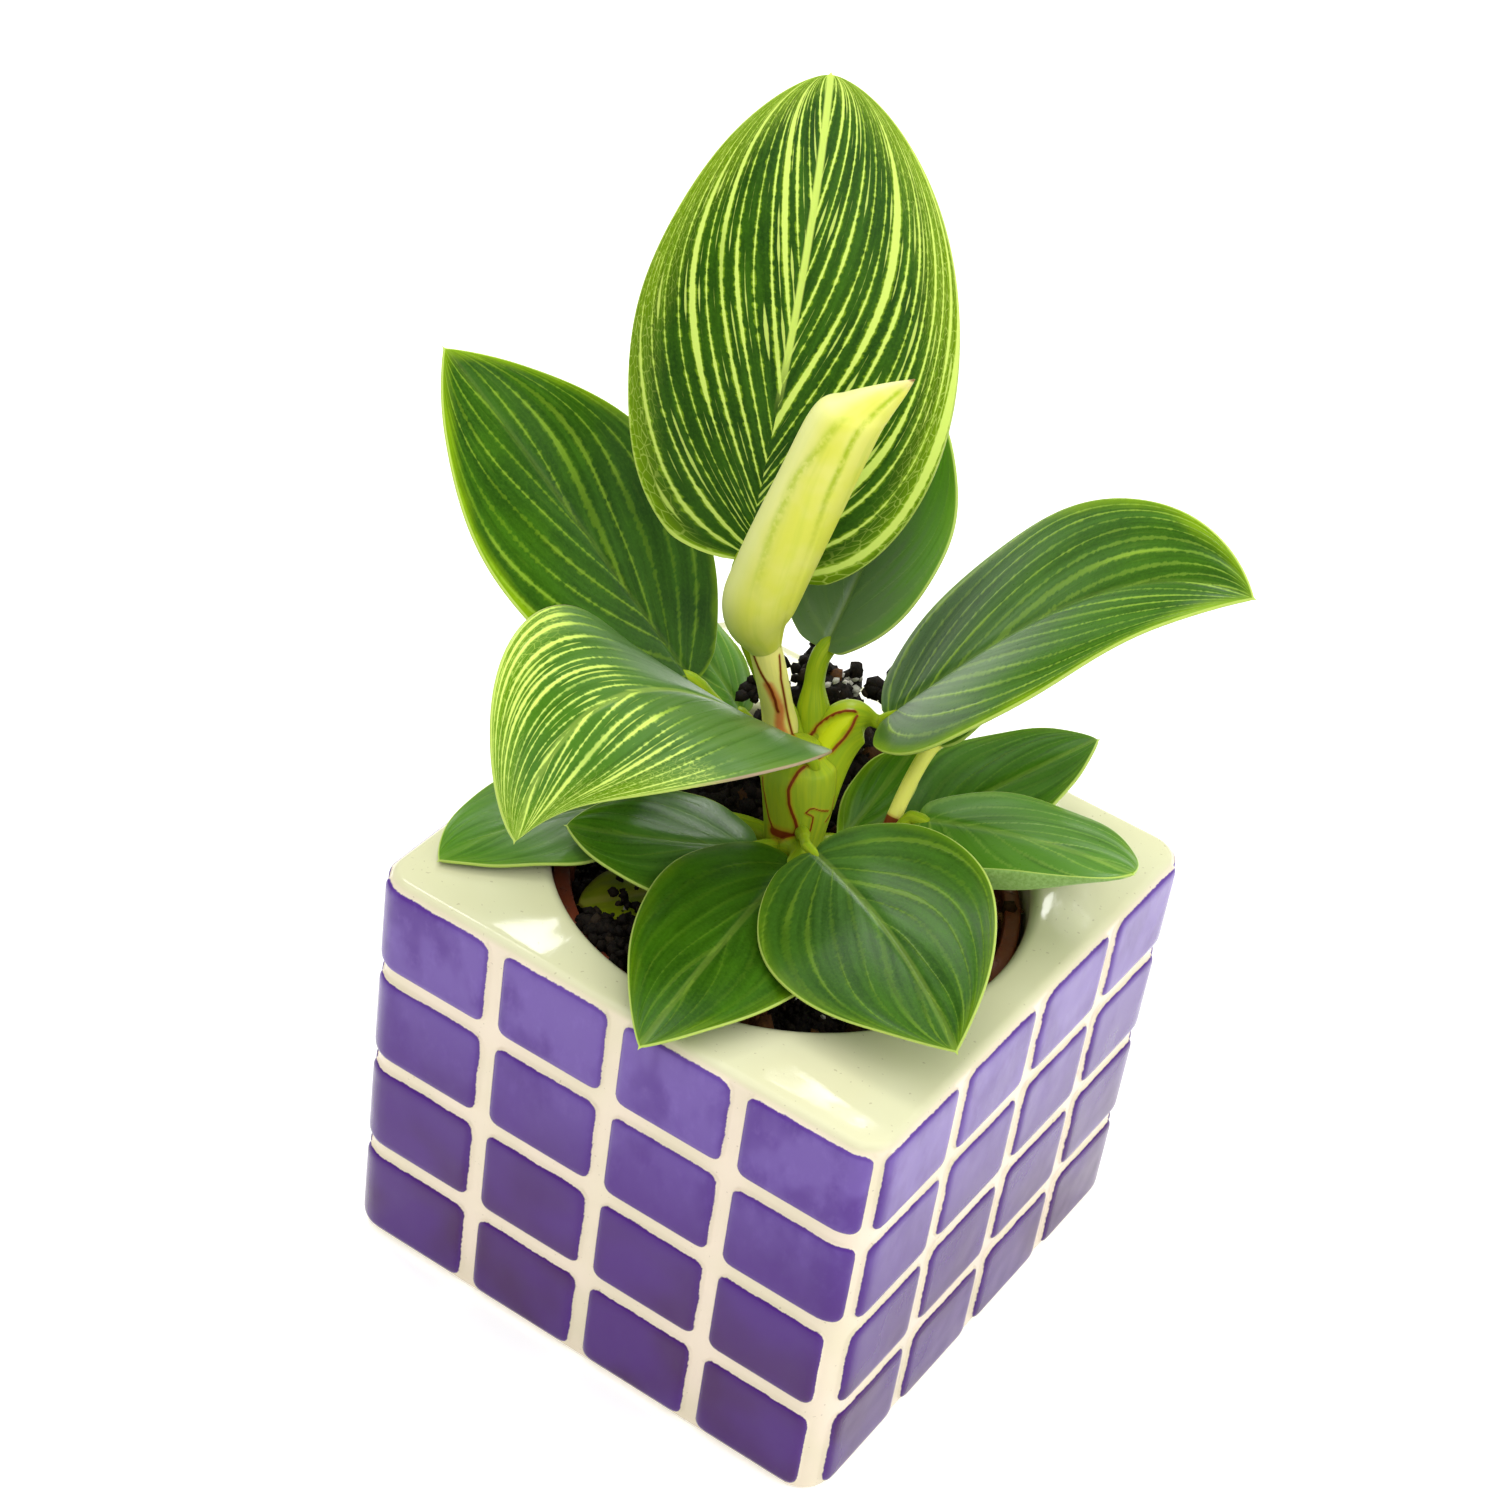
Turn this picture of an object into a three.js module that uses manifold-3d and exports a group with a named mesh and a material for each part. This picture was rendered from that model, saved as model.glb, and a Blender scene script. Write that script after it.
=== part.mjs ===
// A young philodendron birkin in its nursery pot, standing in a square ceramic planter.
// Millimetres, +Z up, origin at the middle of the planter's underside.
//
// The planter is one glazed casting with raised tiles. The nursery pot stands in its round well
// and holds the soil, and the plant's short stem stands in a plain hole in the soil. Every leaf
// blade is a piece of its own, set against the end of its stalk, and the stem carries the stalks.

import * as THREE from 'three';
import { mergeVertices } from 'three/addons/utils/BufferGeometryUtils.js';
import Module from 'manifold-3d';

const wasm = await Module();
wasm.setup();

// ---------------------------------------------------------------- driving dimensions

const GAP = 0.3; // clearance between pieces that touch

const PLANTER_WIDTH = 92; // over the tile faces
const PLANTER_HEIGHT = 75;
const CORNER_RADIUS = 6; // upright corners
const TILE_RELIEF = 0.8; // tiles stand this far out of the grout
const TILES_ACROSS = 4;
const TILE_PITCH = 22; // one tile and its grout, across
const TILE_ROW_HEIGHT = PLANTER_HEIGHT / TILES_ACROSS;
const GROUT = 3.5;
const TILE_CORNER = 2.5;
const WELL_RADIUS = 37.2;
const WELL_FLOOR = 6;
const LIP_RADIUS = 2; // round-over of the opening's edge
const ROUND_SIDES = 40; // well, nursery pot and soil share their facets

const POT_RIM_RADIUS = 36.4; // nursery pot, outside
const POT_RIM_HEIGHT = 5;
const POT_TOP = 70;
const POT_NECK_RADIUS = 34.8; // under the rim
const POT_FOOT_RADIUS = 27;
const POT_WALL = 0.9;
const DRAIN_HOLES = 4;
const DRAIN_RADIUS = 3;

const SOIL_LEVEL = 66.5;
const MOUND_HEIGHT = 22; // the root ball stands proud at the back
const MOUND_BEARING = 116; // degrees from +X
const MOUND_SPREAD = 20;

const BLADE_THICKNESS = 0.8;
const MIDRIB_SHARE = 0.021; // how far the midrib stands out below, as a share of the width
const COLLAR_LENGTH = 1.4; // round end of a blade, behind its foot, that meets the stalk
const STEM_RADIUS = 4.6;

// One entry for each leaf. foot is where the blade leaves its stalk; heading is a compass angle
// from +X; rise is the slope there, which droop takes away towards the tip and sweep turns
// sideways; roll and twist tip the right side down. length and width are the blade's own, fold
// raises both halves off the midrib, and arch bends them back down at the margin. lobe is how
// far the base runs back past the foot, and shoulder, point and base shape the outline. A curl
// drops and widens the right half and rolls its margin up from start, through turn. The
// stalk leaves the crown at from, along rising, has its radius beside the foot, and runs
// straight for the last of its length, reach; sheath is the share of it that sheathes the crown.
const LEAVES = {
  leaf_01: { foot: [-23, 12, 114], heading: 106, rise: 70, droop: 22, bend: 1.4, sweep: 18,
    roll: -7, twist: 1, length: 74, width: 52, fold: 1, arch: 21,
    lobe: 0.03, shoulder: 0.41, point: 0.64, base: 0.03,
    from: [-6, 10, 84], rising: [-6, 1, 10], stalk: 1.9, reach: 10, sheath: 0.5 },
  leaf_02: { foot: [-28.5, 11, 88], heading: 192, rise: 45, droop: 11, bend: 1.4, sweep: -11,
    roll: 3, twist: -17, length: 65, width: 46, fold: 6, arch: 1,
    lobe: 0.02, shoulder: 0.6, point: 0.95, base: 0.03,
    from: [-5, 9, 80], rising: [-8, 3, 0], stalk: 1.8, reach: 5, sheath: 0.5 },
  leaf_03: { foot: [-4, 4, 92], heading: 226, rise: 40, droop: 105, bend: 2.2, sweep: 61,
    roll: 39, twist: -93, length: 69, width: 45, fold: 0, arch: 1,
    lobe: 0.05, shoulder: 0.39, point: 0.87, base: 0.35,
    from: [-3, 7, 83], rising: [1, -1, 4], stalk: 1.8, reach: 3, sheath: 0.5 },
  leaf_04: { foot: [2, 19, 93], heading: 25, rise: 53, droop: 49, bend: 3, sweep: -30,
    roll: 2, twist: 28, length: 70, width: 44, fold: 11, arch: 11,
    lobe: 0.03, shoulder: 0.58, point: 0.94, base: 0.03,
    from: [-3, 8, 80], rising: [-1, 5, 7], stalk: 1.9, reach: 4, sheath: 0.85 },
  leaf_05: { foot: [9, 18.5, 73.5], heading: 55, rise: 26, droop: 0, bend: 1.3, sweep: -4,
    roll: 0, twist: -7, length: 34, width: 26, fold: 9, arch: 14,
    lobe: 0.05, shoulder: 0.5, point: 0.8, base: 0.03,
    from: [-2, 7, 70], rising: [2, 6, 1], stalk: 1.4, reach: 3, sheath: 0.5 },
  leaf_06: { foot: [14.5, 12, 84], heading: 10, rise: 17, droop: 4, bend: 1.3, sweep: -20,
    roll: -4, twist: -14, length: 37, width: 28, fold: 2, arch: 6,
    lobe: 0.05, shoulder: 0.59, point: 0.7, base: 0.03,
    curl: { start: 0.65, turn: 135, drop: 16, widen: 1.3 },
    from: [-1, 2, 71.5], rising: [14, 0, -1], stalk: 1.2, reach: 2, sheath: 0.5 },
  leaf_07: { foot: [-10, 18, 101], heading: 91, rise: 51, droop: 0, bend: 1.3, sweep: 9,
    roll: -15, twist: 2, length: 41, width: 30, fold: 18, arch: 12,
    lobe: 0.03, shoulder: 0.64, point: 0.79, base: 0.03,
    from: [-4, 10, 82], rising: [-3, 4, 7], stalk: 1.6, reach: 5, sheath: 0.75 },
  leaf_08: { foot: [-24, 20, 79], heading: 180, rise: 46, droop: 25, bend: 1.3, sweep: 13,
    roll: 10, twist: -8, length: 26, width: 21, fold: 0, arch: 14,
    lobe: 0.04, shoulder: 0.56, point: 0.72, base: 0.03,
    from: [-5, 8, 75], rising: [-7, 4, -1], stalk: 1.3, reach: 4, sheath: 0.5 },
  leaf_09: { foot: [3.2, 9, 75], heading: 81, rise: 34, droop: 4, bend: 1.3, sweep: 6,
    roll: 4, twist: 0, length: 19, width: 10, fold: 8, arch: 10,
    lobe: 0.03, shoulder: 0.8, point: 0.75, base: 0.03,
    from: [-2, 5, 73], rising: [2, 0, 1], stalk: 1.2, reach: 2, sheath: 0.5 },
  leaf_10: { foot: [8, -9, 87], heading: -21, rise: 5, droop: 17, bend: 1.3, sweep: -14,
    roll: 15, twist: 15, length: 44, width: 35, fold: 3, arch: 8,
    lobe: 0.03, shoulder: 0.59, point: 0.97, base: 0.03,
    from: [-1, 3, 78], rising: [3, -4, 6], stalk: 1.4, reach: 4, sheath: 0.5 },
  leaf_11: { foot: [3, -5, 79.3], heading: 279, rise: 8, droop: 25, bend: 1.3, sweep: -6,
    roll: -3, twist: 4, length: 47, width: 31, fold: 0, arch: 10,
    lobe: 0.05, shoulder: 0.49, point: 0.89, base: 0.03,
    from: [-2, 2, 74], rising: [2, -2, 4], stalk: 1.4, reach: 2, sheath: 0.5 },
  leaf_12: { foot: [-5, -3, 76.5], heading: 231, rise: 9, droop: 5, bend: 1.3, sweep: -20,
    roll: 0, twist: -4, length: 30, width: 25, fold: 0, arch: 2,
    lobe: 0.04, shoulder: 0.56, point: 0.81, base: 0.03,
    from: [-3, 4, 74], rising: [-1, -3, 1], stalk: 1.3, reach: 2, sheath: 0.5 },
  leaf_13: { foot: [-25.5, -8.3, 76.9], heading: 232, rise: 0, droop: 4, bend: 1.3, sweep: 26,
    roll: 1, twist: 2, length: 33, width: 24, fold: 1, arch: 2,
    lobe: 0.05, shoulder: 0.46, point: 0.83, base: 0.03,
    from: [-5, 5, 72], rising: [-9, 0, 0], stalk: 1.2, reach: 2, sheath: 0.5 },
  leaf_14: { foot: [10.4, 21, 92], heading: 70, rise: 45, droop: 20, bend: 1.3, sweep: 0,
    roll: 0, twist: 0, length: 22, width: 16, fold: 8, arch: 10,
    lobe: 0.04, shoulder: 0.5, point: 0.8, base: 0.03,
    from: [10, 5, 64], rising: [0, 1.5, 8], stalk: 1.2, reach: 6, sheath: 0.5 },
};

// The low yellowed leaf has dropped and lies on the soil.
const OLD_LEAF = { foot: [-9.8, -5.6, 68.5], heading: 231, rise: -4, droop: 0, bend: 1, sweep: 3,
  roll: 0, twist: 0, length: 22, width: 15, fold: 0, arch: 6,
  lobe: 0.03, shoulder: 0.6, point: 0.7, base: 0.03, stalk: 0.8 };

// The new leaf is still rolled up: a tube round this line with a slanting, pointed top.
const NEW_LEAF_LINE = [[-13.2, 4.8, 106], [-14.8, 3.7, 112.8], [-14.8, 4.6, 119.3],
  [-12.2, 8.7, 133.1], [-9.7, 12.7, 144.8], [-5.8, 16.4, 149.8], [-3.3, 18.7, 152.4]];
const NEW_LEAF_RADII = [2.4, 4.3, 5, 5.3, 5.4, 5.4, 5.2, 4.9, 3.8, 1.9, 0.6]; // evenly along it
const NEW_LEAF_STALK = { from: [-6, 10, 83], rising: [-5, 2, 4], stalk: 2.4, reach: 10,
  sheath: 0.5 };

// The crown: short stem, leaning back a little as it rises.
const STEM_LINE = [[-3, 4, 56], [-3, 4, 68], [-3, 5, 75], [-3.5, 7, 81], [-4.5, 8, 87]];
const STEM_RADII = [0.9, 1, 1.1, 1.35, 0.8];

// ---------------------------------------------------------------- helpers

const vec = ([x, y, z]) => new THREE.Vector3(x, y, z);

function closedSolid(positions, triangles) {
  const geometry = new THREE.BufferGeometry();
  geometry.setAttribute('position', new THREE.Float32BufferAttribute(positions, 3));
  geometry.setIndex(triangles);
  return geometry;
}

function toManifold(geometry) {
  const plain = geometry.clone();
  plain.deleteAttribute('normal');
  plain.deleteAttribute('uv');
  const merged = mergeVertices(plain, 1e-4);
  const solid = new wasm.Manifold(new wasm.Mesh({
    numProp: 3,
    vertProperties: new Float32Array(merged.attributes.position.array),
    triVerts: new Uint32Array(merged.index.array),
  }));
  return solid;
}

function fromManifold(solid) {
  const mesh = solid.getMesh();
  return closedSolid(Array.from(mesh.vertProperties), Array.from(mesh.triVerts));
}

// A closed skin over rings of points, all with the same count, fanned shut at both ends.
function skin(rings) {
  const count = rings[0].length;
  const positions = rings.flat().flatMap((p) => [p.x, p.y, p.z]);
  const triangles = [];
  for (let i = 0; i + 1 < rings.length; i += 1) {
    for (let j = 0; j < count; j += 1) {
      const k = (j + 1) % count;
      const a = i * count;
      const b = a + count;
      triangles.push(a + j, a + k, b + k, a + j, b + k, b + j);
    }
  }
  const ends = [[rings[0], 0, -1], [rings[rings.length - 1], (rings.length - 1) * count, 1]];
  for (const [ring, start, facing] of ends) {
    const middle = ring.reduce((sum, p) => sum.add(p), new THREE.Vector3()).divideScalar(count);
    const hub = positions.length / 3;
    positions.push(middle.x, middle.y, middle.z);
    for (let j = 0; j < count; j += 1) {
      const k = (j + 1) % count;
      if (facing > 0) triangles.push(hub, start + j, start + k);
      else triangles.push(hub, start + k, start + j);
    }
  }
  return closedSolid(positions, triangles);
}

// A round bar of changing radius along a curve.
function taperedTube(curve, radiusAt, steps, sides) {
  const frames = curve.computeFrenetFrames(steps, false);
  const rings = [];
  for (let i = 0; i <= steps; i += 1) {
    const t = i / steps;
    const centre = curve.getPointAt(t);
    const ring = [];
    for (let j = 0; j < sides; j += 1) {
      const angle = (2 * Math.PI * j) / sides;
      ring.push(centre.clone()
        .addScaledVector(frames.normals[i], radiusAt(t) * Math.cos(angle))
        .addScaledVector(frames.binormals[i], radiusAt(t) * Math.sin(angle)));
    }
    rings.push(ring);
  }
  return skin(rings);
}

// Straight lines between values that are evenly spaced from 0 to 1.
function blend(values, t) {
  const place = t * (values.length - 1);
  const low = Math.min(Math.floor(place), values.length - 2);
  return THREE.MathUtils.lerp(values[low], values[low + 1], place - low);
}

// ---------------------------------------------------------------- leaf blades

const MIDRIB_STEPS = 40;
const STALK_SIDES = 8;
const BASE_ROWS = [0.06, 0.4]; // shares of the rounded base
const MIDRIB_EDGE = 0.07; // share of the half width that the midrib fills
const CURLED_COLUMNS = [MIDRIB_EDGE, 0.35, 0.62, 0.71, 0.8, 0.9, 1];
const BLADE_END = 0.985; // the tip is cut this far along, where it is as narrow as it is thick

// Unit vectors at a share v of the midrib: ahead to the tip, side to the right, up off the face.
function bladeFrame(leaf, v) {
  const along = THREE.MathUtils.clamp(v, 0, 1);
  const pitch = THREE.MathUtils.degToRad(leaf.rise - leaf.droop * along ** leaf.bend);
  const heading = THREE.MathUtils.degToRad(leaf.heading + leaf.sweep * along);
  const roll = THREE.MathUtils.degToRad(leaf.roll + leaf.twist * along);
  const ahead = new THREE.Vector3(Math.cos(pitch) * Math.cos(heading),
    Math.cos(pitch) * Math.sin(heading), Math.sin(pitch));
  const level = new THREE.Vector3(Math.sin(heading), -Math.cos(heading), 0);
  const lift = new THREE.Vector3().crossVectors(level, ahead);
  const up = lift.clone().multiplyScalar(Math.cos(roll)).addScaledVector(level, Math.sin(roll));
  const side = level.clone().multiplyScalar(Math.cos(roll)).addScaledVector(lift, -Math.sin(roll));
  return { ahead, side, up };
}

// The midrib is the sum of short steps ahead, each at the slope of its own middle.
function midribPoints(leaf) {
  const points = [vec(leaf.foot)];
  for (let i = 0; i < MIDRIB_STEPS; i += 1) {
    const { ahead } = bladeFrame(leaf, (i + 0.5) / MIDRIB_STEPS);
    points.push(points[i].clone().addScaledVector(ahead, leaf.length / MIDRIB_STEPS));
  }
  return points;
}

// The base rounds shut over this share of the length: a quarter of an ellipse.
function shut(leaf, v) {
  const open = 1 - THREE.MathUtils.clamp(v / leaf.base, 0, 1);
  return Math.sqrt(1 - open * open);
}

// Half width as a share of the widest: v^shoulder (1 - v)^point, scaled to reach 1.
function outline(leaf, v) {
  const start = 0.01;
  const { shoulder, point } = leaf;
  const raw = (t) => (t + start) ** shoulder * (1 - t) ** point;
  const widest = (shoulder - point * start) / (shoulder + point);
  return (raw(v) / raw(widest)) * shut(leaf, v);
}

// How far an arc that leaves the level at slope goes out and up, bending down by bend per mm.
function arc(slope, bend, length) {
  const end = slope - bend * length;
  const across = (Math.sin(slope) - Math.sin(end)) / bend;
  const raised = (Math.cos(end) - Math.cos(slope)) / bend;
  return { across, raised, end };
}

// The blade's cross section at u across, v along: one arc, or two where its margin is curled.
function sectionPoint(leaf, u, v) {
  const half = leaf.width / 2;
  const bend = THREE.MathUtils.degToRad(leaf.arch) / half;
  const fold = THREE.MathUtils.degToRad(leaf.fold);
  const rim = half * outline(leaf, v);
  if (!leaf.curl || u <= 0) return arc(fold, bend, Math.abs(u) * rim);
  const { start, turn, drop, widen } = leaf.curl;
  const flat = arc(fold - THREE.MathUtils.degToRad(drop), bend, Math.min(u, start) * widen * rim);
  if (u <= start) return flat;
  const tight = THREE.MathUtils.degToRad(-turn) * Math.sqrt(Math.sin(Math.PI * v));
  const margin = arc(flat.end, tight / ((1 - start) * widen * rim), (u - start) * widen * rim);
  return { across: flat.across + margin.across, raised: flat.raised + margin.raised,
    end: margin.end };
}

// A point of the blade's middle surface and the direction off its face, at u across, v along.
function bladePoint(leaf, midrib, u, v) {
  const back = (leaf.lobe * (1 - v) ** 3 * (1 - Math.cos(Math.PI * u)) * shut(leaf, v)) / 2;
  const y = v - back;
  const onRib = THREE.MathUtils.clamp(y, 0, 1) * MIDRIB_STEPS;
  const low = Math.min(Math.floor(onRib), MIDRIB_STEPS - 1);
  const centre = midrib[low].clone().lerp(midrib[low + 1], onRib - low);
  const { ahead, side, up } = bladeFrame(leaf, y);
  if (y < 0) centre.addScaledVector(ahead, y * leaf.length);
  const { across, raised, end } = sectionPoint(leaf, u, v);
  const hand = Math.sign(u);
  const point = centre.addScaledVector(side, hand * across).addScaledVector(up, raised);
  const off = up.clone().multiplyScalar(Math.cos(end)).addScaledVector(side, -hand * Math.sin(end));
  return { point, off };
}

// The round end of the blade behind its foot, which sinks into the midrib ahead of it.
function collarGeometry(leaf) {
  const { ahead, side, up } = bladeFrame(leaf, 0);
  const ring = ([forward, drop, share]) => {
    const points = [];
    for (let j = 0; j < STALK_SIDES; j += 1) {
      const angle = (2 * Math.PI * j) / STALK_SIDES;
      points.push(vec(leaf.foot).addScaledVector(ahead, forward)
        .addScaledVector(side, leaf.stalk * share * Math.cos(angle))
        .addScaledVector(up, -leaf.stalk * (drop + share * Math.sin(angle))));
    }
    return points;
  };
  return skin([[-COLLAR_LENGTH, 0, 1], [0, 0, 1], [1.5, 0.2, 0.8], [4, 0.35, 0.3]].map(ring));
}

// Places along the blade, closest together at its base and tip; a longer blade has more.
function bladeRows(leaf) {
  const count = 6 + Math.round(leaf.length / 15);
  const rows = BASE_ROWS.map((share) => share * leaf.base);
  for (let i = 0; i <= count; i += 1) {
    const share = (1 - Math.cos((Math.PI * i) / count)) / 2;
    rows.push(THREE.MathUtils.lerp(leaf.base, BLADE_END, share));
  }
  return rows;
}

// Places across it from margin to margin, the same on both sides unless one is curled.
function bladeColumns(leaf) {
  const count = 1 + Math.round(leaf.width / 14);
  const right = [];
  for (let i = 0; i <= count; i += 1) {
    right.push(THREE.MathUtils.lerp(MIDRIB_EDGE, 1, i / count));
  }
  const left = right.map((u) => -u).reverse();
  return [...left, ...(leaf.curl ? CURLED_COLUMNS : right)];
}

// Two skins of the same grid, split along the veins in the same way on both faces, with the
// midrib as a keel on the underside that fades towards the tip.
function bladeGeometry(leaf) {
  const midrib = midribPoints(leaf);
  const rowPlaces = bladeRows(leaf);
  const columnPlaces = bladeColumns(leaf);
  const columns = columnPlaces.length;
  const rows = rowPlaces.length;
  const top = [];
  const bottom = [];
  for (const v of rowPlaces) {
    for (const u of columnPlaces) {
      const { point, off } = bladePoint(leaf, midrib, u, v);
      const keel = Math.abs(u) < 0.1 ? MIDRIB_SHARE * leaf.width * (1 - v) : 0;
      top.push(point.clone().addScaledVector(off, BLADE_THICKNESS / 2));
      bottom.push(point.clone().addScaledVector(off, -BLADE_THICKNESS / 2 - keel));
    }
  }
  const positions = [...top, ...bottom].flatMap((p) => [p.x, p.y, p.z]);
  const under = top.length;
  const triangles = [];
  const quad = (a, b, c, d) => triangles.push(a, b, c, a, c, d);
  for (let i = 0; i + 1 < rows; i += 1) {
    for (let j = 0; j + 1 < columns; j += 1) {
      const a = i * columns + j;
      const b = a + 1;
      const c = b + columns;
      const d = a + columns;
      if (columnPlaces[j] < 0) {
        triangles.push(a, b, d, b, c, d);
        triangles.push(under + a, under + d, under + b, under + b, under + d, under + c);
      } else {
        quad(a, b, c, d);
        triangles.push(under + a, under + c, under + b, under + a, under + d, under + c);
      }
    }
    const left = i * columns;
    const right = left + columns - 1;
    quad(left, left + columns, under + left + columns, under + left);
    quad(right + columns, right, under + right, under + right + columns);
  }
  const last = (rows - 1) * columns;
  for (let j = 0; j + 1 < columns; j += 1) {
    quad(j + 1, j, under + j, under + j + 1);
    quad(last + j, last + j + 1, under + last + j + 1, under + last + j);
  }
  const blade = toManifold(closedSolid(positions, triangles));
  return fromManifold(blade.add(toManifold(collarGeometry(leaf))));
}

// ---------------------------------------------------------------- stem and stalks

const STALK_STEPS = 8;
const SHEATH_SWELL = 0.7; // a sheath is this much wider than its plain stalk

// A stalk swells towards the crown, where it sheathes the stem, and meets its leaf end on.
function stalkGeometry({ from, rising, stalk, reach, sheath }, end, ahead) {
  const curve = new THREE.CubicBezierCurve3(vec(from), vec(from).add(vec(rising)),
    end.clone().addScaledVector(ahead, -reach), end);
  const radiusAt = (t) => (
    stalk * (1 + SHEATH_SWELL * (1 - THREE.MathUtils.smoothstep(t, sheath - 0.3, sheath))));
  return taperedTube(curve, radiusAt, STALK_STEPS, STALK_SIDES);
}

function leafStalk(leaf) {
  const { ahead } = bladeFrame(leaf, 0);
  const end = vec(leaf.foot).addScaledVector(ahead, -COLLAR_LENGTH - GAP);
  return stalkGeometry(leaf, end, ahead);
}

function newLeafStalk() {
  const foot = vec(NEW_LEAF_LINE[0]);
  const ahead = vec(NEW_LEAF_LINE[1]).sub(foot).normalize();
  return stalkGeometry(NEW_LEAF_STALK, foot.addScaledVector(ahead, -GAP), ahead);
}

function stemGeometry() {
  const line = new THREE.CatmullRomCurve3(STEM_LINE.map(vec));
  let solid = toManifold(taperedTube(line, (t) => STEM_RADIUS * blend(STEM_RADII, t), 8, 12));
  for (const [name, leaf] of Object.entries(LEAVES)) {
    if (name !== 'leaf_14') solid = solid.add(toManifold(leafStalk(leaf)));
  }
  return fromManifold(solid.add(toManifold(newLeafStalk())));
}

function newLeafGeometry() {
  const line = new THREE.CatmullRomCurve3(NEW_LEAF_LINE.map(vec));
  return taperedTube(line, (t) => blend(NEW_LEAF_RADII, t), 16, 12);
}

// ---------------------------------------------------------------- planter

function roundedSquare(width, radius) {
  const half = width / 2;
  const shape = new THREE.Shape();
  shape.moveTo(half, -half + radius);
  shape.absarc(half - radius, half - radius, radius, 0, Math.PI / 2);
  shape.absarc(-half + radius, half - radius, radius, Math.PI / 2, Math.PI);
  shape.absarc(-half + radius, -half + radius, radius, Math.PI, 1.5 * Math.PI);
  shape.absarc(half - radius, -half + radius, radius, 1.5 * Math.PI, 2 * Math.PI);
  return shape;
}

function roundedRectangle(width, height, radius) {
  const x = width / 2 - radius;
  const y = height / 2 - radius;
  const shape = new THREE.Shape();
  shape.absarc(x, y, radius, 0, Math.PI / 2);
  shape.absarc(-x, y, radius, Math.PI / 2, Math.PI);
  shape.absarc(-x, -y, radius, Math.PI, 1.5 * Math.PI);
  shape.absarc(x, -y, radius, 1.5 * Math.PI, 2 * Math.PI);
  return shape;
}

// One tile as a plug that starts inside the wall of the face towards -Y.
function tilePlug(column, row) {
  const width = TILE_PITCH - GROUT;
  const height = TILE_ROW_HEIGHT - GROUT;
  const shape = roundedRectangle(width, height, TILE_CORNER);
  const plug = new THREE.ExtrudeGeometry(shape,
    { depth: 3, bevelEnabled: false, curveSegments: 1, steps: 1 });
  plug.rotateX(Math.PI / 2);
  const middle = (TILES_ACROSS - 1) / 2;
  plug.translate((column - middle) * TILE_PITCH, -PLANTER_WIDTH / 2 + 2.5,
    (row + 0.5) * TILE_ROW_HEIGHT);
  return plug;
}

function wellCutter() {
  const top = PLANTER_HEIGHT;
  const profile = [new THREE.Vector2(0, WELL_FLOOR), new THREE.Vector2(WELL_RADIUS, WELL_FLOOR)];
  const steps = 3;
  for (let i = 0; i <= steps; i += 1) {
    const angle = (i / steps) * (Math.PI / 2);
    profile.push(new THREE.Vector2(WELL_RADIUS + LIP_RADIUS * (1 - Math.cos(angle)),
      top - LIP_RADIUS + LIP_RADIUS * Math.sin(angle)));
  }
  const last = profile[profile.length - 1];
  profile.push(new THREE.Vector2(last.x, top + 1), new THREE.Vector2(0, top + 1));
  const cutter = new THREE.LatheGeometry(profile, ROUND_SIDES);
  return cutter.rotateX(Math.PI / 2);
}

function planterGeometry() {
  const prism = (width, radius, segments) => new THREE.ExtrudeGeometry(
    roundedSquare(width, radius),
    { depth: PLANTER_HEIGHT, bevelEnabled: false, curveSegments: segments, steps: 1 });
  const ground = PLANTER_WIDTH - 2 * TILE_RELIEF;
  const body = toManifold(prism(ground, CORNER_RADIUS - TILE_RELIEF, 3));
  const envelope = toManifold(prism(PLANTER_WIDTH, CORNER_RADIUS, 3));
  const plugs = [];
  for (let face = 0; face < 4; face += 1) {
    for (let row = 0; row < TILES_ACROSS; row += 1) {
      for (let column = 0; column < TILES_ACROSS; column += 1) {
        plugs.push(toManifold(tilePlug(column, row).rotateZ((face * Math.PI) / 2)));
      }
    }
  }
  const tiles = plugs.reduce((sum, plug) => sum.add(plug)).intersect(envelope);
  return fromManifold(body.add(tiles).subtract(toManifold(wellCutter())));
}

// ---------------------------------------------------------------- nursery pot and soil

const POT_FLOOR = WELL_FLOOR + GAP;

// Outside radius of the pot's plain wall at height z.
function potRadius(z) {
  const share = (z - POT_FLOOR) / (POT_TOP - POT_FLOOR);
  return THREE.MathUtils.lerp(POT_FOOT_RADIUS, POT_NECK_RADIUS, share);
}

function nurseryPotGeometry() {
  const under = POT_TOP - POT_RIM_HEIGHT;
  const point = (x, z) => new THREE.Vector2(x, z);
  const outline = [
    point(0, POT_FLOOR), point(POT_FOOT_RADIUS, POT_FLOOR), point(potRadius(under), under),
    point(POT_RIM_RADIUS, under + 1), point(POT_RIM_RADIUS, POT_TOP),
    point(potRadius(POT_TOP) - POT_WALL, POT_TOP),
    point(potRadius(POT_FLOOR + POT_WALL) - POT_WALL, POT_FLOOR + POT_WALL),
    point(0, POT_FLOOR + POT_WALL),
  ];
  let pot = toManifold(new THREE.LatheGeometry(outline, ROUND_SIDES).rotateX(Math.PI / 2));
  for (let i = 0; i < DRAIN_HOLES; i += 1) {
    const angle = ((i + 0.5) / DRAIN_HOLES) * 2 * Math.PI;
    const drill = new THREE.CylinderGeometry(DRAIN_RADIUS, DRAIN_RADIUS, 6, 12);
    drill.rotateX(Math.PI / 2);
    drill.translate(16 * Math.cos(angle), 16 * Math.sin(angle), POT_FLOOR);
    pot = pot.subtract(toManifold(drill));
  }
  return fromManifold(pot);
}

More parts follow.
